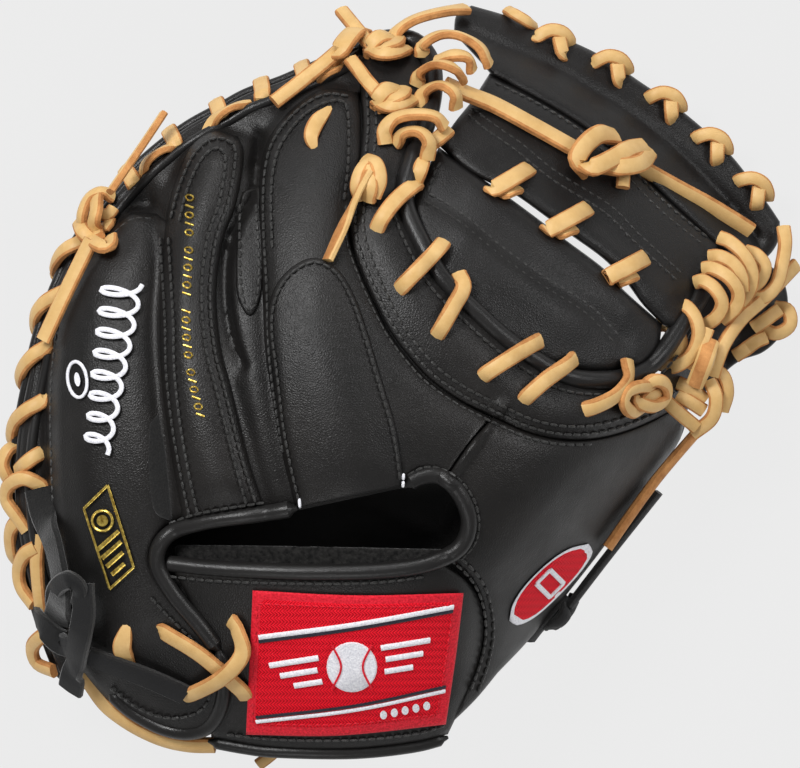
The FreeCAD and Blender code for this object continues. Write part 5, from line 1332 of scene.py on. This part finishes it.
def make_heel_lace():
    lace_piece("strap_cross_laces", back, [
        ([(-80, -81.5, 1), (-78, -83, 5), (-66, -90.5, 6), (-54, -101, 5), (-51, -104.5, 2.5)], 5.6),
        ([(-56, -78.5, 2), (-54, -82, 5.4, 20), (-52.5, -90, 7.5, 10), (-59.5, -98, 9, -10),
         (-70, -103.5, 6, -10), (-73, -103.5, 2)], 5.6)], ["strap_cross_lace"], thickness=LACE_THICKNESS)
    builder = Builder()
    strand(builder, back, [(-90.4, -79.5, 3), (-91.8, -84, 5, -10), (-92.4, -89, 6, -15),
        (-88.6, -97, 3, -20)], 6.4, pointed=True)
    strand(builder, back, [(-105.5, -96.5, 1), (-102.4, -101.5, 1.5, -10), (-97.4, -108, 1.5, -10),
        (-89.4, -114, 1.5), (-80, -118.4, 1.5), (-71, -120.4, 1), (-62, -120.6, 0)], 6, THICK_LACE)
    free_strand(builder, [(-38.5, -119.5, 38), (-43, -124, 38), (-47.5, -127.4, 37)], (0, -0.4, 1), 4)
    place(builder.make("heel_strand", LACES), ["heel_lace"])
    builder = Builder()
    for stops, width in [
            ([(-115, -77, 5), (-115, -69, 9), (-110.4, -65.2, 11), (-106.4, -68, 11), (-107, -74, 9)], 6.4),
            ([(-105.4, -66.4, 9), (-105.2, -76, 11.5), (-107.4, -88, 12), (-110, -102, 8)], 9.4),
            ([(-121, -77.5, 2), (-118.6, -81.4, 8), (-112.6, -86.6, 9.5), (-106, -90, 9)], 9),
            ([(-104, -90.5, 9), (-96, -93.6, 8), (-84, -98, 7.4), (-74, -102.4, 6.8), (-71.5, -103.6, 6.4)],
             8)]:
        strand(builder, back, stops, width, 2.4)
    place(builder.make("pinky_thong_strap", [THONG, SUEDE]),
        ["pinky_thong", "pinky_thong_knot"])
    builder = Builder()
    strand(builder, back, [(-120.6, -35, 5), (-118.6, -44, 7.5), (-115, -56, 8), (-113, -68, 8),
        (-114.6, -80, 7)], 9.6, 2.4)
    place(builder.make("pinky_thong_band", [SUEDE, SUEDE]))
    builder = Builder()
    free_strand(builder, [(43, -85.6, 22), (46.6, -82, 25, 20), (51.5, -77, 27, 20), (56.5, -72, 26)],
        (0.6, -0.5, 0.6), 6)
    free_strand(builder, [(49, -79, 22), (51.6, -80.6, 27), (55.4, -76.6, 28), (53, -73, 24)],
        (0.6, -0.5, 0.6), 6)
    free_strand(builder, [(47, -80.6, 20), (51, -80.8, 24), (56, -76, 24), (58.4, -71.6, 22)],
        (0.6, -0.5, 0.6), 6)
    place(builder.make("thumb_thong_bow", [THONG, SUEDE]), ["thumb_thong_knot"])


# ---- Loose ends, close to their routes in the CAD --------------------------------------------------
def spline_points(route):
    """Points along the smooth curve that a loose end follows."""
    curve = bpy.data.curves.new("route", "CURVE")
    curve.dimensions = "3D"
    spline = curve.splines.new("NURBS")
    spline.points.add(len(route) - 1)
    for point, stop in zip(spline.points, route):
        point.co = (*[value * MM for value in stop], 1)
    spline.order_u = 3
    spline.use_endpoint_u = True
    spline.resolution_u = 12
    holder = bpy.data.objects.new("route", curve)
    mesh = bpy.data.meshes.new_from_object(holder)
    points = np.array([tuple(vertex.co) for vertex in mesh.vertices]) / MM
    bpy.data.objects.remove(holder)
    bpy.data.curves.remove(curve)
    bpy.data.meshes.remove(mesh)
    return spaced(points, 1.2)


def loose_end(name, node, route, up, materials, body, width=5.5, roll=0.0):
    path = spline_points(route)
    builder = Builder()
    ribbon(builder, path, np.broadcast_to(np.array(up, float), path.shape), np.full(len(path), roll), width,
        2.3)
    piece = place(builder.make(name, materials), [node], body)


plain_back, plain_web = Field(back_z, pitch=2.0), Field(web_z, pitch=2.0)


def make_loose_ends():
    loose_end("finger_tail", "finger_lace_tail", [(-96.5, 64, 72), (-90, 73.5, 68), (-84.5, 81.5, 63),
        (-79, 90, 58)], (-0.3, 0.1, 1), LACES, "hand", roll=-65)
    loose_end("rim_tail", "rim_lace_tail", [(-102.8, 48, 72), (-108.2, 37, 71), (-113.6, 26, 70),
        (-118.8, 14.5, 68)], (-0.2, 0.1, 1), LACES, "hand", roll=20)
    loose_end("thumb_thong", "thumb_thong_tail", [(56.6, -74.6, 25), (66.6, -61.4, 25), (76.9, -48.4, 26),
        (86.6, -36.2, 28)], (1, -0.8, 0.3), [THONG, SUEDE], "thumb")
    tail = [(95.5, -13.5), (86, -24), (76.5, -36), (65.5, -52)]
    loose_end("thumb_tail", "thumb_lace_tail", [plain_back.beyond(x, y, 5.2) for x, y in tail],
        (1, -0.8, 0.5), [FLESH, FLESH], "thumb")
    tail = [(79.5, 71.5), (91, 65), (104, 58.5), (117, 51)]
    loose_end("cross_tail", "web_cross_tail", [plain_web.beyond(x, y, 2.0) for x, y in tail], (0, 0, 1),
        LACES, "thumb", roll=18)


# ---- Camera and light ------------------------------------------------------------------------------
# The view is 800 wide, at three to a millimetre, and is sharp to size at VIEW_LEVEL.
FRAME_WIDTH = 800 / 3.0
FLOOR_REACH = 4000
FLOOR_LEVEL = -0.3
FLOOR_GLOW = 0.97
WORLD_LIGHT = 0.27
# Each lamp: its name, where it stands and its size in metres, and its power in watts.
LAMPS = [("key", (-0.75, 0.75, 1.5), 0.5, 25), ("fill", (1.2, 0.5, 1.1), 0.6, 8),
    ("top", (0.0, 1.3, 0.9), 0.5, 6), ("front", (-0.2, -1.2, 1.0), 0.6, 4)]
CAMERA_HEIGHT = 8000.0
VIEW_LEVEL = 66.0


def make_studio():
    """A camera straight above, a pale floor that glows a little, and soft lamps."""
    scene = bpy.context.scene
    camera = bpy.data.objects.new("camera", bpy.data.cameras.new("camera"))
    scene.collection.objects.link(camera)
    camera.location = (0, 0, (CAMERA_HEIGHT + VIEW_LEVEL) * MM)
    camera.data.lens = camera.data.sensor_width * CAMERA_HEIGHT / FRAME_WIDTH
    camera.data.clip_end = 50
    scene.camera = camera
    scene.view_settings.view_transform = "Standard"

    floor = Builder()
    corners = [(-1, -1), (1, -1), (1, 1), (-1, 1)]
    floor.add([(x * FLOOR_REACH, y * FLOOR_REACH, FLOOR_LEVEL) for x, y in corners], [(0, 1, 2, 3)], 0)
    paint, tree, shader, here = principled("pale_floor", 0.9, Specular_IOR_Level=0.1)
    shade = blend_colours(tree, noise(tree, here, 2.0), (0.825, 0.825, 0.825), (0.835, 0.835, 0.835))
    tree.links.new(shade, shader.inputs["Emission Color"])
    shader.inputs["Emission Strength"].default_value = FLOOR_GLOW
    shader.inputs["Base Color"].default_value = (0.02, 0.02, 0.02, 1)
    stage = floor.make("floor", [paint])

    world = bpy.data.worlds.new("studio")
    world.use_nodes = True
    world.node_tree.nodes["Background"].inputs["Color"].default_value = (1, 1, 1, 1)
    world.node_tree.nodes["Background"].inputs["Strength"].default_value = WORLD_LIGHT
    scene.world = world
    for name, spot, size, power in LAMPS:
        lamp = bpy.data.objects.new(name, bpy.data.lights.new(name, "AREA"))
        lamp.data.size = size
        lamp.data.energy = power
        lamp.location = spot
        lamp.rotation_euler = (-Vector(spot)).to_track_quat("-Z", "Y").to_euler()
        scene.collection.objects.link(lamp)


make_studio()
make_back_panels()
make_strap()
make_palm()
make_walls()
make_label()
make_patch()
make_marks()
make_stitching()
make_bindings()
make_web()
make_laces()
make_index_lace()
make_thumb_lace()
make_knots()
make_heel_lace()
make_loose_ends()
